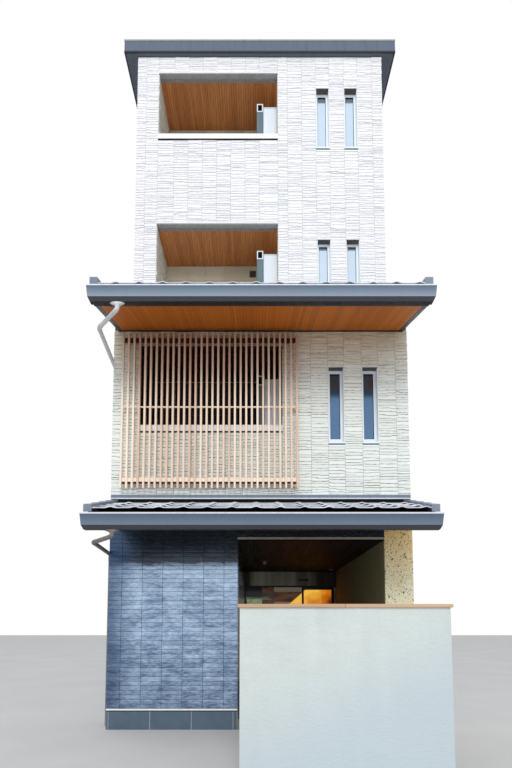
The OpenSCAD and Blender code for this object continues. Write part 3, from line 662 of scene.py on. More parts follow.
def pipe_plastic(name, dark, light, low_shade, unshaded_z, shade_z):
    """White pipe plastic with run marks, and painted shade that darkens it below the lower eave."""
    f = Finish(name, Specular_IOR_Level=0.4)
    streaks = f.noise(14.0, 5.0, RUN_DOWN)
    unshaded = f.ramp(f.weigh((streaks, 0.6), (f.noise(45.0, 5.0), 0.4)), (0.3, dark), (0.7, light))
    # Painted shade low down, below the lower eave.
    shade_share = f.weigh((f.band(f.along("Z"), unshaded_z, shade_z), 0.8), (f.noise(9.0), 0.2))
    return f.done(f.blend(f.band(shade_share, 0.15, 0.95), unshaded, low_shade), f.band(streaks, 0.0, 1.1),
                  f.noise(60.0), 0.0004)


# Each finish under its maker: the darker and the lighter colour, then what else the maker takes.
LOOKS = {
    # One siding in three copies: cream_siding and balcony_siding are white_siding painted a little darker
    # as shade, on the second storey and in the balcony recesses. The third colour of each is the painted
    # shade at the stones' feet.
    siding: {
        "white_siding": ((230, 232, 238), (250, 251, 254), (212, 216, 222)),
        "cream_siding": ((224, 231, 226), (246, 252, 251), (156, 159, 144), under_soffit(FRONT)),
        "balcony_siding": ((214, 214, 206), (240, 240, 234), (156, 158, 146)),
    },
    mineral: {
        "wall_backing": ((148, 150, 143), (174, 176, 168), 40.0, 0.002),
        "beige_siding": ((196, 190, 168), (222, 217, 196), 40.0, 0.002),
        "shade_panel": ((34, 28, 26), (58, 48, 42), 30.0, 0.001, 0.4),
        "navy_joint": ((24, 34, 48), (42, 54, 70), 60.0, 0.0006, 0.9),
        "dark_stone": ((66, 84, 100), (94, 112, 130), 60.0, 0.001, 0.55),
        "pale_joint": ((150, 158, 166), (186, 192, 198), 60.0, 0.0006, 0.7),
        "concrete": ((120, 120, 116), (160, 160, 155), 30.0, 0.002),
    },
    plaster: {
        "room_plaster": ((190, 186, 176), (214, 210, 200), 0.0006),
        "olive_plaster": ((112, 106, 78), (146, 138, 104)),
        "screen_plaster": ((198, 209, 207), (222, 231, 230), 0.007, (194, 208, 219)),
    },
    timber: {
        "soffit_wood": ((170, 88, 25), (206, 118, 38), "y", 14.0, 0.8, 0.26, 0.15),
        "balcony_wood": ((176, 102, 50), (224, 148, 86), "y", 14.0, 0.5, 0.26),
        "shade_wood": ((52, 24, 16), (88, 42, 28), "y", 9.0, 0.6, 0.3),
        "porch_wood": ((26, 26, 29), (42, 39, 40), "y", 8.0, 0.95, 0.45, 0.05),
        # Its last value paints shade on the bars' upper part, under the eave.
        "lattice_wood": ((220, 188, 164), (254, 238, 220), "z", 9.0, 0.6, 0.45, 0.5,
                         ((158, 106, 78), 4.9, 6.1)),
        "rail_wood": ((42, 24, 19), (72, 44, 36), "x", 9.0, 0.8, 0.45, 0.1),
        "cap_wood": ((178, 138, 106), (218, 186, 152), "x", 7.0, 0.55),
        "door_wood": ((44, 28, 20), (78, 52, 34), "z", 9.0, 0.4),
    },
    metal: {
        "verge_metal": ((104, 114, 132), (140, 150, 168), 0.2, 0.4),
        "flashing_metal": ((112, 128, 146), (134, 150, 168), 0.15, 0.35),
        "dark_metal": ((30, 34, 42), (50, 54, 64), 0.2, 0.42),
        "slate_metal": ((82, 94, 112), (104, 116, 134), 0.25, 0.38),
        "pale_metal": ((150, 150, 148), (186, 186, 184), 0.3, 0.4),
        "white_metal": ((246, 248, 250), (254, 254, 255), 0.0, 0.35),
        "frame_metal": ((236, 246, 255), (246, 253, 255), 0.0, 0.35),
        "cabinet_metal": ((226, 236, 250), (240, 247, 255), 0.0, 0.35),
        "lip_metal": ((204, 214, 226), (236, 244, 252), 0.1, 0.3),
        "gray_metal": ((96, 118, 126), (130, 152, 160), 0.1, 0.4),
        "head_metal": ((136, 136, 138), (192, 194, 198), 0.25, 0.4),
        "reveal_metal": ((66, 60, 52), (92, 86, 76), 0.1, 0.5),
        "roof_metal": ((84, 92, 104), (116, 124, 136), 0.3, 0.42),
        "black_seal": ((8, 8, 10), (18, 18, 20), 0.0, 0.6, 0.1),
        "vent_metal": ((62, 60, 48), (88, 84, 68), 0.2, 0.5),
        "trim_metal": ((150, 140, 126), (200, 188, 170), 0.3, 0.4),
    },
    glazed: {"navy_tile": ((90, 114, 148), (200, 226, 255), 0.4, 2.4, 2.64)},
    pitted: {"tufa_stone": ((252, 238, 192), (255, 254, 230), (40, 16, 0), (254, 210, 124), 1.7, 3.2)},
    kawara: {"roof_tile": ((168, 175, 190), (240, 245, 254), (30, 34, 40))},
    gutter_metal: {"gutter_metal": ((86, 102, 122), (140, 156, 176), (62, 64, 70), (24, 26, 30))},
    pipe_plastic: {"pipe_plastic": ((190, 194, 198), (226, 229, 232), (118, 110, 104), 3.6, 2.9)},
    striped_metal: {"transom_metal": ((112, 108, 100), (176, 170, 150), PORCH_X0 + 0.16, 1.22)},
    glass: {"window_glass": ((96, 130, 168), (214, 233, 252), LEVEL[3] + 0.3)},
    room_glass: {"room_glass": ((14, 18, 18), PORCH_X0 + 0.06, PORCH_X0 + 0.42, 2.3, 2.115)},
    amber_glass: {"amber_glass": (low("entrance_door_glass").x - 0.33, 2.03, 2.37, 2.05, 2.29)},
}
LOOK = {name: maker(name, *values) for maker, looks in LOOKS.items() for name, values in looks.items()}

# Each finish with the CAD nodes that stay as they are and wear it.
NODE_LOOKS = {
    "concrete": "ground_slab",
    "navy_joint": "tiled_front_wall porch_left_wall",
    "olive_plaster": "porch_right_wall",
    # porch_lintel wears black as painted shade.
    "black_seal": "porch_lintel",
    "dark_metal": "entrance_frame lower_roof_deck upper_roof_deck upper_roof_soffit eave_fascias",
    "transom_metal": "transom_panel",
    "room_glass": "entrance_glass",
    "door_wood": "entrance_door_leaf",
    "amber_glass": "entrance_door_glass",
    "room_plaster": "second_floor third_floor fourth_floor",
    "wall_backing": "second_front_wall upper_front_wall side_wall_left side_wall_right rear_wall",
    "beige_siding": "balcony_walls",
    "white_metal": "balcony_caps",
    "cabinet_metal": "balcony_cabinets",
    "gray_metal": "balcony_ducts",
    "lattice_wood": "lattice_brackets",
    "frame_metal": "window_frames window_sills",
    "window_glass": "window_glass",
    "gutter_metal": "eave_gutters",
    "flashing_metal": "roof_flashings",
    "roof_metal": "top_roof",
    "slate_metal": "top_roof_fascia",
}


def finish_nodes():
    for look, nodes in NODE_LOOKS.items():
        for node in nodes.split():
            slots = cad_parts[node].data.materials
            slots.clear()
            slots.append(LOOK[look])


# Wall finishes.
COLUMN_W, COLUMN_SLACK = 0.264, 0.2
COURSE = (0.030, 0.064)
JOINT, JOINT_W, WIDE_JOINT_W = 0.0028, 0.003, 0.0042
JOG, JOG_CHANCE, RAG = 0.016, 0.7, 0.0028
LEAST_COURSE, LEAST_STONE, LEAST_ROUNDED, LEAST_SPAN = 0.014, 0.006, 0.02, 0.012
# How far a stone stands out, the share of it at the stone's top, and how uneven both are.
STONE_OUT, TOP_SHARE, FOOT_ROUGH, TOP_ROUGH = (0.006, 0.012), (0.25, 1.15), 0.0025, 0.002
# How a rounded stone slopes back to its joints, and the painted shade on its lower slope.
SLOPE_H, SLOPE_OUT, FOOT_SHADE, FOOT_SHADE_SPREAD = (0.004, 0.008), (0.002, 0.001), (-0.9, 0.2), 0.5
# How far the trims of a slot window and of a balcony reach below and above the opening.
SLOT_TRIM, RECESS_TRIM = (0.046, 0.013), (0.017, 0.024)


def columns(anchors):
    """Pairs of edges between fixed places, each pair about one panel wide."""
    edges = [anchors[0]]
    for a, b in neighbours(anchors):
        edges += steps(a, b, max(1, math.ceil((b - a) / COLUMN_W - COLUMN_SLACK)))[1:]
    return neighbours(edges)


def clear_spans(column, bottom, top, holes):
    """The upright stretches of a column that no hole covers."""
    middle = (column[0] + column[1]) / 2
    spans = [(bottom, top)]
    for x0, x1, z0, z1 in holes:
        if x0 < middle < x1:
            cut = [part for a, b in spans for part in ((a, min(b, z0)), (max(a, z1), b))]
            spans = [(a, b) for a, b in cut if b - a > LEAST_SPAN]
    return spans


def split_stones(shape, place, column, span, rng, samples=5, roof=None, ends=(0, 0), rounded=False,
                 upright=JOINT_W):
    """Courses of split stone in one column, whose ragged joints jog and lean.

    roof clamps the heights under a slope, ends lets a corner column reach round the corner, and
    rounded slopes each stone back towards the joints above and below it and paints shade on its
    lower slope. upright is the width of the joints between columns.
    """
    left, right = column[0] + upright / 2, column[1] - upright / 2
    across = steps(left, right, samples)
    heights = [span[0]]
    while heights[-1] + COURSE[1] + COURSE[0] * 0.6 < span[1]:
        heights.append(heights[-1] + rng.uniform(*COURSE))
    heights.append(span[1])
    lines = []
    for k, z in enumerate(heights):
        inner = 0 < k < len(heights) - 1
        jog = rng.uniform(-JOG, JOG) if inner and rng.random() < JOG_CHANCE else 0.0
        lean = rng.uniform(-RAG, RAG) if inner else 0.0
        turn = rng.uniform(left, right)
        line = [z + (jog if u > turn else 0.0) + lean * (u - left) / (right - left)
                + (rng.uniform(-RAG, RAG) if inner else 0.0) for u in across]
        if inner:
            line = [min(max(h, below + LEAST_COURSE), span[1] - LEAST_COURSE)
                    for h, below in zip(line, lines[-1])]
        lines.append([min(h, roof(u)) for h, u in zip(line, across)] if roof else line)
    for foot, crown in neighbours(lines):
        gap = JOINT / 2 if crown is not lines[-1] else 0.0
        rows = [[z + JOINT / 2 for z in foot], [z - gap for z in crown]]
        least = min(b - a for a, b in zip(*rows))
        if least < LEAST_STONE:
            continue
        out = rng.uniform(*STONE_OUT)
        share = rng.uniform(*TOP_SHARE)
        depths = [[out + rng.uniform(-FOOT_ROUGH, FOOT_ROUGH) for _ in across],
                  [out * share + rng.uniform(-TOP_ROUGH, TOP_ROUGH) for _ in across]]
        sloped_and_shaded = rounded and least > LEAST_ROUNDED
        if sloped_and_shaded:
            slope = rng.uniform(*SLOPE_H)
            rows = [rows[0], [z + slope for z in rows[0]], [z - slope for z in rows[1]], rows[1]]
            depths = [[SLOPE_OUT[0]] * len(across)] + depths + [[SLOPE_OUT[1]] * len(across)]
        reach = list(across)
        reach[0] -= ends[0] * out
        reach[-1] += ends[1] * out
        # Painted shade on the stone's lower slope: its faces get a tone below 0.
        foot_shade = rng.uniform(*FOOT_SHADE)
        relief(shape, place, reach, rows, lambda i, j: depths[j][i], rng.random(), foot_tones=[
            foot_shade + rng.uniform(-FOOT_SHADE_SPREAD, FOOT_SHADE_SPREAD) for _ in across[1:]] if sloped_and_shaded else ())


def slot_holes(storey):
    base = LEVEL[storey] + SLOT_SILL
    foot, head = base - SILL_T - SLOT_TRIM[0], base + SLOT_H + SLOT_TRIM[1]
    return [(x, x + SLOT_W, foot, head) for x in SLOT_X]


def storey_holes(face_y):
    """The openings in the street wall at one face, as (x0, x1, z0, z1)."""
    holes = []
    for storey in UPSTAIRS:
        if face_of(storey) == face_y:
            foot, head = LEVEL[storey] + PARAPET + CAP_H, LEVEL[storey] + HEAD
            holes.append((RECESS_X0, RECESS_X1, foot - RECESS_TRIM[0], head + RECESS_TRIM[1]))
            holes += slot_holes(storey)
    return holes


def face_stones(name, look, rng, place, pairs, bottom, top, holes, samples, rounded=False,
                upright=JOINT_W):
    """Split stone on a whole face, which reaches round both of its corners."""
    shape = Shape()
    for column in pairs:
        ends = (column is pairs[0], column is pairs[-1])
        for span in clear_spans(column, bottom, top, holes):
            split_stones(shape, place, column, span, rng, samples, None, ends, rounded, upright)
    piece(name, shape, look)


def street_siding():
    """Split-stone siding on both street walls, with a joint at each half of the windows' pitch."""
    pitch = SLOT_X[1] - SLOT_X[0]
    joints_and_shadow_strips = [SLOT_X[0] + pitch / 2 * k for k in range(-12, 5)]
    off_jamb = 0.1
    flash_low, flash_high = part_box("roof_flashings")
    walls = (
        ("second_storey_siding", "cream_siding", FRONT, flash_low.z + 0.01,
         under_soffit(FRONT) - 0.006, WIDE_JOINT_W),
        ("upper_storeys_siding", "white_siding", UPPER, flash_high.z - 0.02, SIDING_TOP, JOINT_W),
    )
    for seed, (name, look, face_y, bottom, top, upright) in enumerate(walls, 40):
        holes = storey_holes(face_y)
        jambs = {edge for hole in holes for edge in hole[:2]} | {-HALF, HALF}
        cuts = sorted(jambs | {x for x in joints_and_shadow_strips if min(abs(x - jamb) for jamb in jambs) > off_jamb})
        face_stones(name, look, random.Random(seed), facing("y", face_y, -1), neighbours(cuts),
                    bottom, top, holes, 5, True, upright)


def plain_siding():
    """The same siding on the sides and the rear, with fewer points in each stone."""
    base = LEVEL[1] + 0.01
    above = high("tiled_front_wall").z + 0.002
    for seed, (name, side) in enumerate((("left_siding", -1), ("right_siding", 1)), 60):
        rng = random.Random(seed)
        shape = Shape()
        corner = high("stone_pier").y if side > 0 else FRONT + WALL_T
        for column in columns([FRONT, corner, UPPER, REAR]):
            middle = sum(column) / 2
            foot, top, roof = above if middle < corner else base, SIDING_TOP, None
            if middle < UPPER:
                top, roof = under_soffit(column[1]), lambda y: under_soffit(y) - 0.004
            split_stones(shape, facing("x", side * HALF, side), column, (foot, top), rng, 2, roof)
        piece(name, shape, "white_siding")
    jambs = [edge for x in SLOT_X for edge in (x, x + SLOT_W)]
    holes = [hole for storey in LEVEL for hole in slot_holes(storey)]
    face_stones("rear_siding", "white_siding", random.Random(62), facing("y", REAR, 1),
                columns([-HALF, *jambs, HALF]), base, SIDING_TOP, holes, 2)


TILE_W, TILE_ROW, FIRST_TILE_W = 0.303, 0.0655, 0.195
UPRIGHT_JOINT, LEVEL_JOINT = 0.005, 0.0045
TILE_OUT, TILE_SWAY, TILE_ROUGH, TILE_EASE = (0.0065, 0.0095), 0.00025, 0.0001, 0.0005
LEAST_TILE_W, LEAST_TILE_H = 0.01, 0.012


def glazed_tiles(shape, place, start, end, bottom, top, points, first, rng):
    """Long glazed tiles in straight columns, each with a rippled face."""
    u = start
    while u < end - LEAST_TILE_W:
        right = min(u + (first if u == start else TILE_W), end)
        across = steps(u + UPRIGHT_JOINT / 2, right - UPRIGHT_JOINT / 2,
                       max(2, round(points * (right - u) / TILE_W)))
        last = len(across) - 1
        z = bottom
        while z < top - LEAST_TILE_H:
            crown = min(z + TILE_ROW, top)
            heights = steps(z + LEVEL_JOINT / 2, crown - LEVEL_JOINT / 2, 3)
            out = rng.uniform(*TILE_OUT)
            phase = rng.uniform(0, 6.28)
            sway = [[TILE_SWAY * math.sin(phase + 9 * i / len(across) + 1.7 * j)
                     + rng.uniform(-TILE_ROUGH, TILE_ROUGH) for i in range(len(across))]
                    for j in range(len(heights))]

            def depth(i, j):
                return out + (-TILE_EASE if i in (0, last) or j in (0, 3) else sway[j][i])

            relief(shape, place, across, level(heights, across), depth, rng.random())
            z += TILE_ROW
        u = right


def navy_tiles():
    """Glazed tiles on the street wall, round its corner, over the porch and along its side."""
    rng = random.Random(71)
    foot = high("stone_skirting").z + 0.040
    top = under_slope("lower_roof_deck", FRONT) - 0.004
    street, side, front = Shape(), Shape(), facing("y", FRONT, -1)
    runs = (
        (street, front, -HALF - 0.006, PORCH_X0, foot, top, 6, FIRST_TILE_W),
        (street, front, PORCH_X0, PIER_X0, PORCH_HEAD + 0.055, top, 6, TILE_W),
        (street, facing("x", -HALF, -1), FRONT, FRONT + WALL_T, foot, top, 4, TILE_W),
        (side, facing("x", PORCH_X0, 1), FRONT, PORCH_BACK, LEVEL[1] + 0.004, PORCH_HEAD - 0.004,
         3, TILE_W),
    )
    for run in runs:
        glazed_tiles(*run, rng)
    piece("street_tiles", street, "navy_tile", smooth=50)
    piece("porch_tiles", side, "navy_tile", smooth=50)


def skirting():
    """Dark stone slabs along the foot, with pale joints and a bright metal strip on top."""
    lo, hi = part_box("stone_skirting")
    slab_w, last_w, joint_w, gap_h, trim_h = 0.604, 0.06, 0.006, 0.014, 0.024
    edges = [hi.x - last_w]
    while edges[0] - slab_w > lo.x:
        edges.insert(0, edges[0] - slab_w)
    slabs = Shape()
    rng = random.Random(5)
    for a, b in neighbours([lo.x, *edges, hi.x]):
        block(slabs, (a + joint_w / 2, lo.y, lo.z), (b - joint_w / 2, hi.y, hi.z), EASE, rng.random())
    piece("skirting_slabs", slabs, "dark_stone", replaces=["stone_skirting"])
    trim_z = hi.z + gap_h
    for name, look, slot, back, z0, z1, ease in (
        ("skirting_joints", "pale_joint", "dark_stone", 0.001, lo.z, hi.z - 0.001, 0.001),
        ("skirting_shadow_gap", "black_seal", "dark_stone", 0.004, hi.z, trim_z, 0.001),
        ("skirting_trim", "white_metal", "pale_metal", -0.006, trim_z, trim_z + trim_h, 0.003),
    ):
        bar(name, look, (lo.x, lo.y + back, z0), (hi.x, hi.y, z1), ease)


def stone_pier():
    """The tuff pier as a rough block with open pits on its faces."""
    rng = random.Random(17)
    lo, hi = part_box("stone_pier")
    top = under_slope("lower_roof_deck", lo.y) - 0.002
    pit_count, pit_r, pit_deep, grain = 170, (0.008, 0.02), 0.012, 0.001
    rows, inset = 300, 0.02
    pits = [(rng.uniform(0, 1), rng.uniform(0, 1), rng.uniform(*pit_r)) for _ in range(pit_count)]
    shape = Shape()
    sides = (
        (facing("y", lo.y, -1), lo.x, hi.x, 44),
        (facing("x", hi.x, 1), lo.y, hi.y, 26),
        (facing("x", lo.x, -1), lo.y, hi.y, 22),
    )
    rises = steps(0, top - lo.z, rows)
    near = [[pit for pit in pits if abs(pit[1] * (top - lo.z) - rise) < pit_r[1]] for rise in rises]
    for place, start, end, count in sides:
        across = steps(start, end, count)
        heights = steps(lo.z, top, rows)

        def depth(i, j):
            if i in (0, count) or j in (0, rows):
                return -grain
            out = rng.uniform(-grain, grain)
            for pit_u, pit_z, radius in near[j]:
                away = math.hypot(across[i] - start - pit_u * (end - start),
                                  heights[j] - lo.z - pit_z * (top - lo.z))
                if away < radius:
                    out -= pit_deep * (1 - (away / radius) ** 2)
            return out

        relief(shape, place, across, level(heights, across), depth, back=-0.03)
    block(shape, (lo.x + inset, lo.y + inset, lo.z), (hi.x - inset, hi.y, top))
    piece("pier_stone", shape, "tufa_stone", replaces=["stone_pier"])
    bar("pier_plaster", "olive_plaster", (PORCH_X1, FRONT + 0.012, LEVEL[1]),
        (lo.x - 0.001, hi.y, PORCH_HEAD - 0.002), 0.001)


# Timber parts.
def lattice():
    """Planed bars with eased edges in front of their rails."""
    lo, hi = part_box("lattice_screen")
    bar_w, bar_d, rail_d, count = 0.03, 0.055, 0.025, 32
    bars, dark = Shape(), Shape()
    rng = random.Random(23)
    for x in steps(lo.x, hi.x - bar_w, count - 1):
        block(bars, (x, lo.y, lo.z), (x + bar_w, lo.y + bar_d, hi.z), 0.0025, rng.random())
    middle = lo.z + (hi.z - lo.z) / 2 + 0.05
    # The rails: how far short of the ends they stop, their foot and head, and their tone.
    for shape, end, z0, z1, tone in (
        (bars, 0.0, lo.z + 0.102, lo.z + 0.166, 0.9),
        (bars, 0.0, middle - 0.01, middle + 0.01, 0.9),
        (dark, bar_w, lo.z + 0.076, lo.z + 0.1015, 0.5),
        (dark, bar_w, hi.z - 0.135, hi.z - 0.07, 0.5),
    ):
        block(shape, (lo.x + end, hi.y - rail_d, z0), (hi.x - end, hi.y, z1), EASE, tone)
    piece("lattice_dark_rails", dark, "rail_wood")
    piece("lattice_bars", bars, "lattice_wood", replaces=["lattice_screen"])


def soffit_boards():
    """Narrow grooved boards that run in depth under the upper eave."""
    lo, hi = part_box("upper_roof_soffit")
    rng = random.Random(29)
    boards, trim = Shape(), Shape()
    board_w, rim, groove = 0.045, 0.065, 0.0018
    for a, b in bays(lo.x + rim, hi.x - rim, round((hi.x - lo.x - 2 * rim) / board_w)):
        def board(y):
            z = under_soffit(y)
            return [(a + 0.0003, z + 0.004), (a + groove, z - 0.001),
                    (b - groove, z - 0.001), (b - 0.0003, z + 0.004)]

        sweep_y(boards, (lo.y + 0.002, hi.y - 0.002), board, rng.random())
    for x in (lo.x, hi.x - rim):
        def edge(y):
            z = under_soffit(y)
            return [(x, z + 0.01), (x, z - 0.004), (x + rim, z - 0.004), (x + rim, z + 0.01)]

        sweep_y(trim, (lo.y, hi.y), edge)
    y = hi.y - 0.03
    z = under_soffit(y)
    block(trim, (lo.x, y, z - 0.012), (hi.x, hi.y - 0.001, z + 0.01))
    piece("soffit_boards", boards, "soffit_wood")
    piece("soffit_trim", trim, "dark_metal")


def board_run(shape, start, end, count, gap, rng):
    """Boards side by side along x, which run in depth, between two corners."""
    for a, b in bays(start[0], end[0], count):
        block(shape, (a + gap, *start[1:]), (b - gap, *end[1:]), 0.003, rng.random())


def ceiling_boards():
    """Boards in depth on the ceilings of the balconies and the porch."""
    rng = random.Random(31)
    open_ones, screened, porch = Shape(), Shape(), Shape()
    for storey in UPSTAIRS:
        z, face = LEVEL[storey] + HEAD - BOARD_T, face_of(storey)
        board_run(screened if storey == 2 else open_ones, (RECESS_X0, face + WALL_T, z),
                  (RECESS_X1, face + RECESS_DEEP, z + BOARD_T), 48, 0.0013, rng)
    lo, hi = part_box("porch_ceiling")
    board_run(porch, lo, (hi.x, hi.y, lo.z + BOARD_T), 20, 0.0008, rng)
    piece("balcony_ceiling_boards", open_ones, "balcony_wood", ["balcony_ceilings"])
    piece("screened_ceiling_boards", screened, "shade_wood", ["balcony_ceilings"])
    piece("porch_ceiling_boards", porch, "porch_wood", ["porch_ceiling"])


# Roofs.
TILE_COURSE, COURSE_LAP = 0.29, 0.04
TILES_ACROSS = 14
PAN_SHARE, HUMP = 0.55, 0.016
WAVE = [0.0, 0.2, 0.4, 0.55, 0.64, 0.7, 0.76, 0.82, 0.88, 0.94, 1.0]


def tile_wave(share):
    """The wave of a roof tile across its width: a flat pan and a low roll at its side."""
    if share < PAN_SHARE:
        return 0.0
    return HUMP * math.sin(math.pi * (share - PAN_SHARE) / (1 - PAN_SHARE)) ** 2


def roof_tiles(name, node, seed):
    """Courses of waved tiles, each with its thick foot on the course below and a black strip painted as the
    shadow there.

    From its foot back, a tile is given by its depth, the heights of its top and its underside
    over the node's underside, and how much of the wave it has.
    """
    rng = random.Random(seed)
    lo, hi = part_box(node)
    tiles, tile_shadow_strips = Shape(), Shape()
    count = round((hi.y - lo.y) / TILE_COURSE)
    across = bays(lo.x, hi.x, TILES_ACROSS)
    side_gap = 0.0012
    for y0, next_y in bays(lo.y, hi.y, count):
        y1 = min(next_y + COURSE_LAP, hi.y)
        # A black strip under each tile's foot is painted shadow.
        if y0 > lo.y:
            def dark(y):
                base = under_slope(node, y)
                wave = [(a + (b - a) * s, tile_wave(s)) for a, b in across for s in WAVE[:-1]]
                return ([(x, base + 0.048 + w) for x, w in wave] +
                        [(x, base + 0.016) for x, w in reversed(wave)])

            sweep_y(tile_shadow_strips, (y0 + 0.012, y0 + 0.026), dark)
        for a, b in across:
            lift, skew = rng.uniform(-0.0015, 0.0015), rng.uniform(0.0, 0.004)
            tone = rng.random()
            rings = []
            for y, top, foot, wave in (
                (y0 + skew, 0.056, 0.046, 1.0), (y0 + skew + 0.004, 0.0605, 0.045, 1.0),
                (y0 + 0.03, 0.058, 0.044, 1.0), (y1 - 0.045, 0.038, 0.024, 0.35),
                (y1, 0.032, 0.020, 0.1),
            ):
                base = under_slope(node, y) + lift + top
                crown = [(a + side_gap + (b - a - 2 * side_gap) * s, y, base + wave * tile_wave(s))
                         for s in WAVE]
                rings.append(crown + [(x, y, z - top + foot) for x, y, z in reversed(crown)])
            loft(tiles, rings, tone)
    piece(name, tiles, "roof_tile", replaces=[node], smooth=35)
    piece(name + "_gaps", tile_shadow_strips, "black_seal")


def verge_tiles():
    """Boxed verge tiles that overlap down each side of both eave roofs."""
    lo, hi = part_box("verge_caps")
    rng = random.Random(37)
    shape = Shape()
    width, drop, ease = 0.105, 0.008, 0.006
    for deck, back, tall in (("lower_roof_deck", FRONT, 0.1), ("upper_roof_deck", UPPER, 0.135)):
        for x0 in (lo.x, hi.x - width):
            x1 = x0 + width
            for a, b in bays(lo.y, back, round((back - lo.y) / TILE_COURSE)):
                def boxed(y):
                    foot = over_slope(deck, y) + 0.0003
                    top = foot + tall - (drop if y == b else 0.0)
                    return [(x0, foot), (x0, top - ease), (x0 + ease, top),
                            (x1 - ease, top), (x1, top - ease), (x1, foot)]

                sweep_y(shape, (a, b), boxed, rng.random())
    piece("verge_boxes", shape, "verge_metal", ["verge_caps"])


def flashing_edges():
    """The drip lips of the flashings, the bead above them and a black strip painted as the shadow below
    them.
    """
    lips, joints_and_shadow_strips = Shape(), Shape()
    lo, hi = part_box("roof_flashings")
    tall, verge_w = 0.07, 0.106
    for face, foot in ((FRONT, lo.z), (UPPER, hi.z - tall)):
        y = face - 0.02
        head = foot + tall
        block(lips, (-HALF, y - 0.006, foot), (HALF, y + 0.004, foot + 0.018))
        block(lips, (-HALF, y - 0.003, head - 0.006), (HALF, face, head + 0.002), 0.001)
        # Painted shadow under the flashing.
        block(joints_and_shadow_strips, (-HALF + verge_w, face - 0.012, foot - 0.045), (HALF - verge_w, face, foot - HAIR),
              0.001)
    piece("flashing_lips", lips, "lip_metal")
    piece("flashing_shadow_strips", joints_and_shadow_strips, "black_seal")


def gutter_line(lip, out=0.0):
    """A gutter's outer outline from its lip to the fascia, moved out a little."""
    face, fascia = low("eave_gutters").y, high("eave_gutters").y
    foot, bottom = lip - GUTTER_H, lip - GUTTER_H - GUTTER_CHAMFER_H - out
    return [(face - out, lip), (face + GUTTER_LEAN - out, foot),
            (face + GUTTER_LEAN + GUTTER_CHAMFER_W - out, bottom), (fascia, bottom)]


def gutters():
    """Rolled lips along the gutters, sleeves at their joints and saddles at their outlets."""
    lo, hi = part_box("eave_gutters")
    beads, sleeves, saddles = Shape(), Shape(), Shape()
    rolled = ((-0.001, -0.018), (-0.003, -0.012), (-0.003, -0.002), (-0.001, 0.001), (0.018, 0.001),
              (0.021, -0.003), (0.021, -0.010), (0.016, -0.008), (0.006, -0.008))
    saddle = ((0.0, 0.034, 0.034), (0.001, 0.095, 0.036), (-0.008, 0.095, 0.036),
              (-0.016, 0.075, 0.035), (-0.030, 0.040, 0.034), (-0.032, 0.034, 0.033))
    sleeve_w, under_bead = 0.05, 0.021
    for lip in GUTTER_LIPS:
        sweep_x(beads, (lo.x, hi.x), [(lo.y + out, lip + rise) for out, rise in rolled])
        outer = gutter_line(lip, 0.0015)
        inner = [(y + 0.003, z + 0.001) for y, z in reversed(gutter_line(lip))]
        outer[0] = (outer[0][0] + 0.002, lip - under_bead)
        inner[-1] = (inner[-1][0] + 0.002, lip - under_bead)
        for x in (-1.80, 0.175):
            sweep_x(sleeves, (x, x + sleeve_w), outer + inner)
        turned(saddles, (OUTLET_X, OUTLET_Y, lip - GUTTER_FOOT), saddle, 32)
    piece("gutter_lips", beads, "lip_metal")
    piece("gutter_sleeves", sleeves, "gutter_metal")
    piece("outlet_saddles", saddles, "pipe_plastic", smooth=35)


def downpipe_runs():
    """Both downpipes as smooth tubes with couplers, and the straps that hold them."""
    foot = low("downpipes").z
    radius, strap_t, strap_h, strap_pitch, socket_h = 0.029, 0.003, 0.024, 1.0, 0.05
    wall_x = low("downpipes").x + radius + strap_t
    drop, fall, bend_r, collar_l = 0.08, 0.014, 0.03, 0.026
    kick_x, kick_y = 0.077, 0.83
    tubes, straps = Shape(), Shape()

    def collar(shape, y, z, tall):
        turned(shape, (wall_x, y, z), [(0, radius), (0, radius + strap_t),
                                       (tall, radius + strap_t), (tall, radius)])

    for lip, y in zip(GUTTER_LIPS, (FRONT + 0.40, FRONT + 0.26)):
        top = lip - GUTTER_FOOT
        bend_z = top - drop - 2 * fall
        route = [Vector(point) for point in (
            (OUTLET_X, OUTLET_Y, top), (OUTLET_X, OUTLET_Y, top - drop),
            (wall_x + kick_x, FRONT - kick_y, top - drop - fall), (wall_x, y, bend_z), (wall_x, y, foot),
        )]
        tube(tubes, round_route(route, bend_r), radius)
        for corner, leg in ((1, 0), (1, 2), (2, 1), (2, 3), (3, 2), (3, 4)):
            away = (route[leg] - route[corner]).normalized()
            start = route[corner] + away * (bend_r + 0.004)
            tube(tubes, [start, start + away * collar_l], radius + strap_t)
        collar(tubes, y, bend_z - 2 * socket_h, socket_h)
        z = strap_pitch / 2
        while z <= bend_z - 4 * socket_h:
            collar(straps, y, z, strap_h)
            block(straps, (wall_x + radius, y - strap_h / 4, z + strap_h / 4),
                  (-HALF, y + strap_h / 4, z + strap_h * 0.75), 0.001)
            block(straps, (-HALF - strap_t, y - strap_h, z - strap_h / 2),
                  (-HALF, y + strap_h, z + strap_h * 1.5), 0.001)
            z += strap_pitch
    piece("downpipe_runs", tubes, "pipe_plastic", replaces=["downpipes"], smooth=40)
    piece("downpipe_straps", straps, "pale_metal", smooth=40)


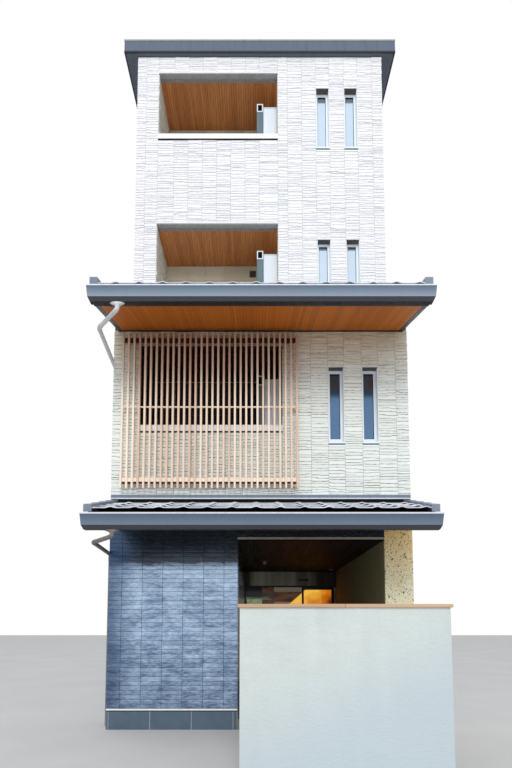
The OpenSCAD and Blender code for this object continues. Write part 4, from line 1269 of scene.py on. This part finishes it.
def top_roof_details():
    """Standing seams on the top roof, with the lip, band and drip edge of its metal border."""
    lo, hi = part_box("top_roof")
    fall, foot_w, crown_w, tall = 0.09, 0.012, 0.004, 0.016
    seams = Shape()
    for x in steps(lo.x + 0.18, hi.x - 0.18, 11):
        def seam(y):
            z = hi.z - (fall * 0.02 if y < 0 else fall)
            return [(x - foot_w, z - 0.002), (x - crown_w, z + tall),
                    (x + crown_w, z + tall), (x + foot_w, z - 0.002)]

        sweep_y(seams, (lo.y + 0.02, hi.y - 0.01), seam, 0.4)
    piece("roof_seams", seams, "roof_metal")
    lo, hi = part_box("top_roof_fascia")
    edge_t = 0.03
    for name, look, z0, z1, back, replaced in (
        ("roof_edge_band", "slate_metal", lo.z + 0.0305, hi.z - 0.0285, 0.006, ["top_roof_fascia"]),
        ("roof_edge_lip", "pale_metal", hi.z - 0.028, hi.z, 0.0, ()),
        ("roof_edge_drip", "dark_metal", lo.z, lo.z + 0.03, 0.002, ()),
    ):
        shape = Shape()
        block(shape, (lo.x + back, lo.y + back, z0), (hi.x - back, lo.y + edge_t, z1))
        for x0, x1 in ((lo.x + back, lo.x + edge_t), (hi.x - edge_t, hi.x - back)):
            block(shape, (x0, lo.y + edge_t + HAIR, z0), (x1, hi.y, z1))
        piece(name, shape, look, replaced)


# Openings.
def each_slot():
    """Every slot window: (x, sill height, how its wall faces)."""
    for at, out, storeys in ((None, -1, UPSTAIRS), (REAR, 1, LEVEL)):
        for storey in storeys:
            for x in SLOT_X:
                yield x, LEVEL[storey] + SLOT_SILL, facing("y", at or face_of(storey), out)


def window_details():
    """Gaskets, reveal linings and trims of the slot windows, with a dark strip under each head and a black
    strip under each sill painted as shade and shadow.
    """
    seals_and_shadows, trims, heads = Shape(), Shape(), Shape()
    face_w, foot_w, seal_w, reveal, lining_t = 0.048, 0.084, 0.005, 0.1, 0.010
    glass_out, lining_out = (-reveal - 0.024, -reveal - 0.011), -reveal + 0.001
    for x0, sill, place in each_slot():
        x1, head, foot = x0 + SLOT_W, sill + SLOT_H, sill - SILL_T
        left, right, bottom, top = x0 + face_w, x1 - face_w, sill + foot_w, head - face_w
        lining, jamb_z = x0 + HAIR + lining_t, (sill + 0.001, head - 0.005)
        for shape, across, out, up, ease in (
            (seals_and_shadows, (left, left + seal_w), glass_out, (bottom, top), 0.001),
            (seals_and_shadows, (right - seal_w, right), glass_out, (bottom, top), 0.001),
            (seals_and_shadows, (left + seal_w, right - seal_w), glass_out, (bottom, bottom + 0.006), 0.001),
            (seals_and_shadows, (left + seal_w, right - seal_w), glass_out, (top - 0.012, top), 0.001),
            # A black strip under the sill is painted shadow.
            (seals_and_shadows, (x0, x1), (0.0, 0.014), (foot - 0.014, foot - HAIR), HAIR),
            # A dark strip under the head is painted shade.
            (heads, (x0 + HAIR, x1 - HAIR), (lining_out, 0.006), (head - 0.004, head + 0.002), 0.001),
            (trims, (x0 + HAIR, lining), (lining_out, 0.013), jamb_z, 0.001),
            (trims, (x1 - HAIR - lining_t, x1 - HAIR), (lining_out, 0.013), jamb_z, 0.001),
            (trims, (x0 - 0.006, x1 + 0.006), (HAIR, 0.015), (head + 0.003, head + 0.012), 0.001),
            (trims, (x0, x1), (HAIR, 0.013), (foot - 0.045, foot - 0.015), EASE),
        ):
            slab(shape, place, across, out, up, ease)
    piece("window_gaskets_and_shadows", seals_and_shadows, "black_seal")
    piece("window_trims", trims, "frame_metal")
    piece("window_head_shades", heads, "reveal_metal")


def louvres(shape, place, across, out, start, tall, ease, tone=0.5):
    """Five blades one above another."""
    pitch = 0.022
    for k in range(5):
        z = start + pitch * k
        slab(shape, place, across, out, (z, z + tall), ease, tone)


def balcony_details():
    """Metal heads and trims, wall panels or stones, and vents."""
    trims, vents, joints_and_shadow_strips, stones = Shape(), Shape(), Shape(), Shape()
    # Panels and heads of the open balconies, and those of the screened one, which are darker copies painted
    # as the shade behind the lattice.
    panels, heads = (Shape(), Shape()), (Shape(), Shape())
    rng = random.Random(43)
    head_d, head_t, panel_t, cabinet_w = 0.085, 0.012, 0.008, 0.27
    vent_x, vent_z, blade_x, blade_z = (-0.1975, -0.0726), (2.146, 2.277), (-0.187, -0.083), 2.16
    for storey in UPSTAIRS:
        face, base = face_of(storey), LEVEL[storey]
        screened = storey == 2
        panel, lintel = panels[screened], heads[screened]
        foot, head, back = base + PARAPET + CAP_H, base + HEAD, face + RECESS_DEEP
        under = head - 0.03
        left, rear = facing("x", RECESS_X0, 1), facing("y", back, -1)
        # A black strip under each cap is painted shadow.
        block(joints_and_shadow_strips, (RECESS_X0, face - 0.016, foot - 0.016), (RECESS_X1, face, foot - HAIR), 0.001)
        block(lintel, (RECESS_X0, face - 0.004, head - head_t), (RECESS_X1, face + head_d, head), EASE, 0.7)
        block(lintel, (RECESS_X0, face + head_d + 0.001, head - 0.02), (RECESS_X1, face + WALL_T, head),
              EASE, 0.1)
        block(lintel if screened else trims, (RECESS_X0 - 0.01, face - 0.015, head + HAIR),
              (RECESS_X1 + 0.01, face, head + 0.02))

        def panel_column(place, start, end, gap):
            for z0, z1 in bays(base, under, 8):
                slab(panel, place, (start + gap, end - gap), (0, panel_t), (z0 + 0.0015, z1 - 0.0015),
                     EASE, rng.random())

        for x0, x1 in bays(RECESS_X0, RECESS_X1 - cabinet_w, 5):
            panel_column(rear, x0, x1, 0.0025)
        slab(panel, facing("x", RECESS_X1, -1), (face + 0.002, face + WALL_T), (0, 0.006),
             (foot, under), 0.001)
        for y0, y1 in neighbours([face + 0.002] + steps(face + WALL_T + 0.004, back - 0.012, 3)):
            if screened:
                panel_column(left, y0, y1, 0.0015)
            else:
                split_stones(stones, left, (y0, y1), (base, under), rng, 3)
        slab(vents, rear, vent_x, (panel_t, 0.03), [base + z for z in vent_z], 0.006, 0.2)
        louvres(vents, rear, blade_x, (0.03, 0.036), base + blade_z, 0.008, EASE, 0.9)
    piece("balcony_heads", heads[0], "head_metal")
    piece("screened_heads", heads[1], "rail_wood")
    piece("balcony_head_trims", trims, "white_metal")
    piece("parapet_shadow_gaps", joints_and_shadow_strips, "black_seal")
    piece("balcony_wall_panels", panels[0], "beige_siding")
    piece("balcony_side_stones", stones, "balcony_siding")
    piece("screened_wall_panels", panels[1], "shade_panel")
    piece("balcony_vents", vents, "vent_metal")


def cabinet_details():
    """Doors, handles and caps of the cabinets, and the framed grille over each duct."""
    white, dark = Shape(), Shape()
    clo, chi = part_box("balcony_cabinets")
    dlo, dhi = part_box("balcony_ducts")
    grille_h, frame_w, door_gap, door_out, frame_out, door_ease = 0.163, 0.02, 0.004, 0.008, 0.01, 0.003
    door_x, inner_x = (clo.x + 0.012, chi.x - 0.004), (dlo.x + frame_w, dhi.x - frame_w)
    for storey in UPSTAIRS:
        base, back = LEVEL[storey], face_of(storey) - FRONT
        top = base + (chi.z - LEVEL[4])
        middle = base + (chi.z - LEVEL[4]) * 0.52
        z1 = base + (dhi.z - LEVEL[4])
        z0 = base + (dhi.z - LEVEL[4]) - grille_h
        inner_z = (z0 + frame_w, z1 - frame_w)
        cabinet, duct = facing("y", clo.y + back, -1), facing("y", dlo.y + back, -1)
        for shape, across, out, up in (
            (white, door_x, (0.0, door_out), (base + 0.06, middle - door_gap)),
            (white, door_x, (0.0, door_out), (middle + door_gap, top - 0.02)),
            (white, (clo.x - 0.004, chi.x), (-0.3, 0.012), (top, top + 0.012)),
            (dark, (clo.x + 0.02, clo.x + 0.045), (door_out, 0.016), (middle + 0.05, middle + 0.13)),
        ):
            slab(shape, cabinet, across, out, up, door_ease)
        for across, up in (
            ((dlo.x, dhi.x), (z1 - frame_w, z1)), ((dlo.x, dhi.x), (z0, z0 + frame_w)),
            ((dlo.x, inner_x[0]), inner_z), ((inner_x[1], dhi.x), inner_z),
        ):
            slab(white, duct, across, (0.0, frame_out), up)
        slab(dark, duct, inner_x, (0.0, 0.003), inner_z, 0.001)
        louvres(dark, duct, (dlo.x + 0.024, dhi.x - 0.024), (0.003, 0.007), z0 + 0.03, 0.009, 0.001)
    piece("cabinet_fronts", white, "cabinet_metal")
    piece("duct_grilles", dark, "black_seal")


def entrance_details():
    """Head trim, downlights, the slot in the transom, the posts' pale edges and the lit pane."""
    bar("porch_head_trim", "trim_metal", (PORCH_X0, FRONT - 0.012, PORCH_HEAD + 0.016),
        (PIER_X0, FRONT + 0.02, PORCH_HEAD + 0.05), 0.003)
    rims, lenses, edges = Shape(), Shape(), Shape()
    ceiling = low("porch_ceiling").z
    hanging, flush = (0.10, -1.86, ceiling), (1.65, -0.26, ceiling)
    for place in (hanging, flush):
        turned(rims, place, [(0.004, 0.03), (0.004, 0.055), (-0.004, 0.055), (-0.007, 0.048),
                             (-0.003, 0.04), (0.002, 0.036)])
        turned(lenses, place, [(0.003, 0.036), (-0.002, 0.034), (-0.003, 0.02)])
    turned(rims, hanging, [(-0.005, 0.02), (-0.012, 0.034), (-0.06, 0.034), (-0.066, 0.03),
                           (-0.066, 0.02)])
    piece("downlight_rims", rims, "pale_metal", smooth=30)
    piece("downlight_lenses", lenses, "white_metal", smooth=30)
    panel_y = low("transom_panel").y
    bar("transom_slot", "dark_metal", (0.93, panel_y - 0.008, 2.545),
        (1.19, panel_y - HAIR, 2.60), 0.006)
    lo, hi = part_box("entrance_glass")
    door_head, pane_w, rim = 2.39, 0.664, 0.001
    for x, wide in ((lo.x + 0.629, 0.024), (PORCH_X1 - 0.038, 0.026)):
        block(edges, (x, PORCH_BACK - 0.004, LEVEL[1] + 0.05),
              (x + wide, PORCH_BACK - HAIR, door_head), 0.001)
    piece("post_edges", edges, "trim_metal")
    bar("fixed_pane_face", "amber_glass", (hi.x - pane_w, lo.y - 0.003, lo.z + rim),
        (hi.x - rim, lo.y - HAIR, hi.z - rim), HAIR)


def screen_wall():
    """The plastered screen with softened arrises and a cap with eased edges."""
    lo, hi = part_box("screen_wall")
    rng = random.Random(53)
    shape = Shape()
    waves = [(rng.uniform(1, 5), rng.uniform(1, 5), rng.uniform(0, 6.28)) for _ in range(10)]
    count_u, count_z, skin, swell = 60, 48, 0.0035, 0.00035
    xs, zs = steps(lo.x, hi.x, count_u), steps(lo.z, hi.z, count_z)

    def depth(i, j):
        if i in (0, count_u):
            return -skin - HAIR
        return sum(math.sin(a * xs[i] * 2.3 + b * zs[j] * 1.9 + c) for a, b, c in waves) * swell - skin

    for y, out in ((lo.y, -1), (hi.y, 1)):
        relief(shape, facing("y", y, out), xs, level(zs, xs), depth, back=-0.05)
    block(shape, (lo.x, lo.y + 0.0045, lo.z), (hi.x, hi.y - 0.0045, hi.z), 0.004)
    piece("screen_plaster", shape, "screen_plaster", ["screen_wall"], smooth=40)
    lo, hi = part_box("screen_wall_cap")
    cap = Shape()
    middle = (lo.x + hi.x) / 2
    for x0, x1, tone in ((lo.x, middle - 0.0006, 0.4), (middle + 0.0006, hi.x, 0.6)):
        block(cap, (x0, lo.y, lo.z), (x1, hi.y, hi.z), 0.004, tone)
    piece("screen_cap_boards", cap, "cap_wood", ["screen_wall_cap"])


# Floor, light and camera.
SKY_LIGHT = 0.76


def floor():
    mesh = bpy.data.meshes.new("floor")
    reach = 60.0
    mesh.from_pydata([(-reach, -reach, 0), (reach, -reach, 0), (reach, reach, 0), (-reach, reach, 0)],
                     [], [(0, 1, 2, 3)])
    f = Finish("floor", Roughness=0.9, Specular_IOR_Level=0.1)
    mesh.materials.append(f.done(f.ramp(f.noise(0.6), (0.3, (206, 207, 208)), (0.7, (214, 215, 216)))))
    show("floor", mesh)


def sky():
    """A plain white sky that camera and mirrors see at 1, and that lights a little less."""
    world = bpy.data.worlds.new("sky")
    bpy.context.scene.world = world
    world.use_nodes = True
    nodes, links = world.node_tree.nodes, world.node_tree.links
    rays = nodes.new("ShaderNodeLightPath").outputs
    seen = rays["Is Camera Ray"]
    for kind in ("Is Glossy Ray", "Is Transmission Ray"):
        either = nodes.new("ShaderNodeMath")
        either.operation = "MAXIMUM"
        links.new(seen, either.inputs[0])
        links.new(rays[kind], either.inputs[1])
        seen = either.outputs[0]
    strength = nodes.new("ShaderNodeMapRange")
    strength.inputs["To Min"].default_value = SKY_LIGHT
    links.new(seen, strength.inputs["Value"])
    back = nodes["Background"].inputs
    back["Color"].default_value = (1.0, 1.0, 1.0, 1.0)
    links.new(strength.outputs["Result"], back["Strength"])


def key_light():
    """A broad soft light from high up across the street."""
    data = bpy.data.lights.new("key", "AREA")
    data.shape, data.size, data.energy, data.color = "DISK", 13.0, 3300.0, (1.0, 0.995, 0.985)
    made = show("key", data)
    made.location = (-0.5, -28.0, 18.0)
    made.rotation_mode = "QUATERNION"
    made.rotation_quaternion = (Vector((0, -3, 5)) - made.location).to_track_quat("-Z", "Y")
    made.visible_glossy = False


def camera():
    """The photograph's own viewpoint, at eye height across the street."""
    data = bpy.data.cameras.new("street_camera")
    data.lens, data.sensor_width = 24.0, 36.0
    data.shift_x, data.shift_y = 0.00055, 0.2578
    data.clip_end = 500.0
    made = show("street_camera", data)
    made.location = (-0.077, -11.926, 1.522)
    made.rotation_euler = (math.radians(90 + 4.717), 0, 0)
    bpy.context.scene.camera = made


for build in (camera, floor, sky, key_light, finish_nodes, street_siding, plain_siding, navy_tiles,
              skirting, stone_pier, lattice, soffit_boards, ceiling_boards):
    build()
roof_tiles("lower_kawara", "lower_roof_tiles", 81)
roof_tiles("upper_kawara", "upper_roof_tiles", 82)
for build in (verge_tiles, flashing_edges, gutters, downpipe_runs, top_roof_details, window_details,
              balcony_details, cabinet_details, entrance_details, screen_wall):
    build()
bpy.context.scene.view_settings.view_transform = "Standard"
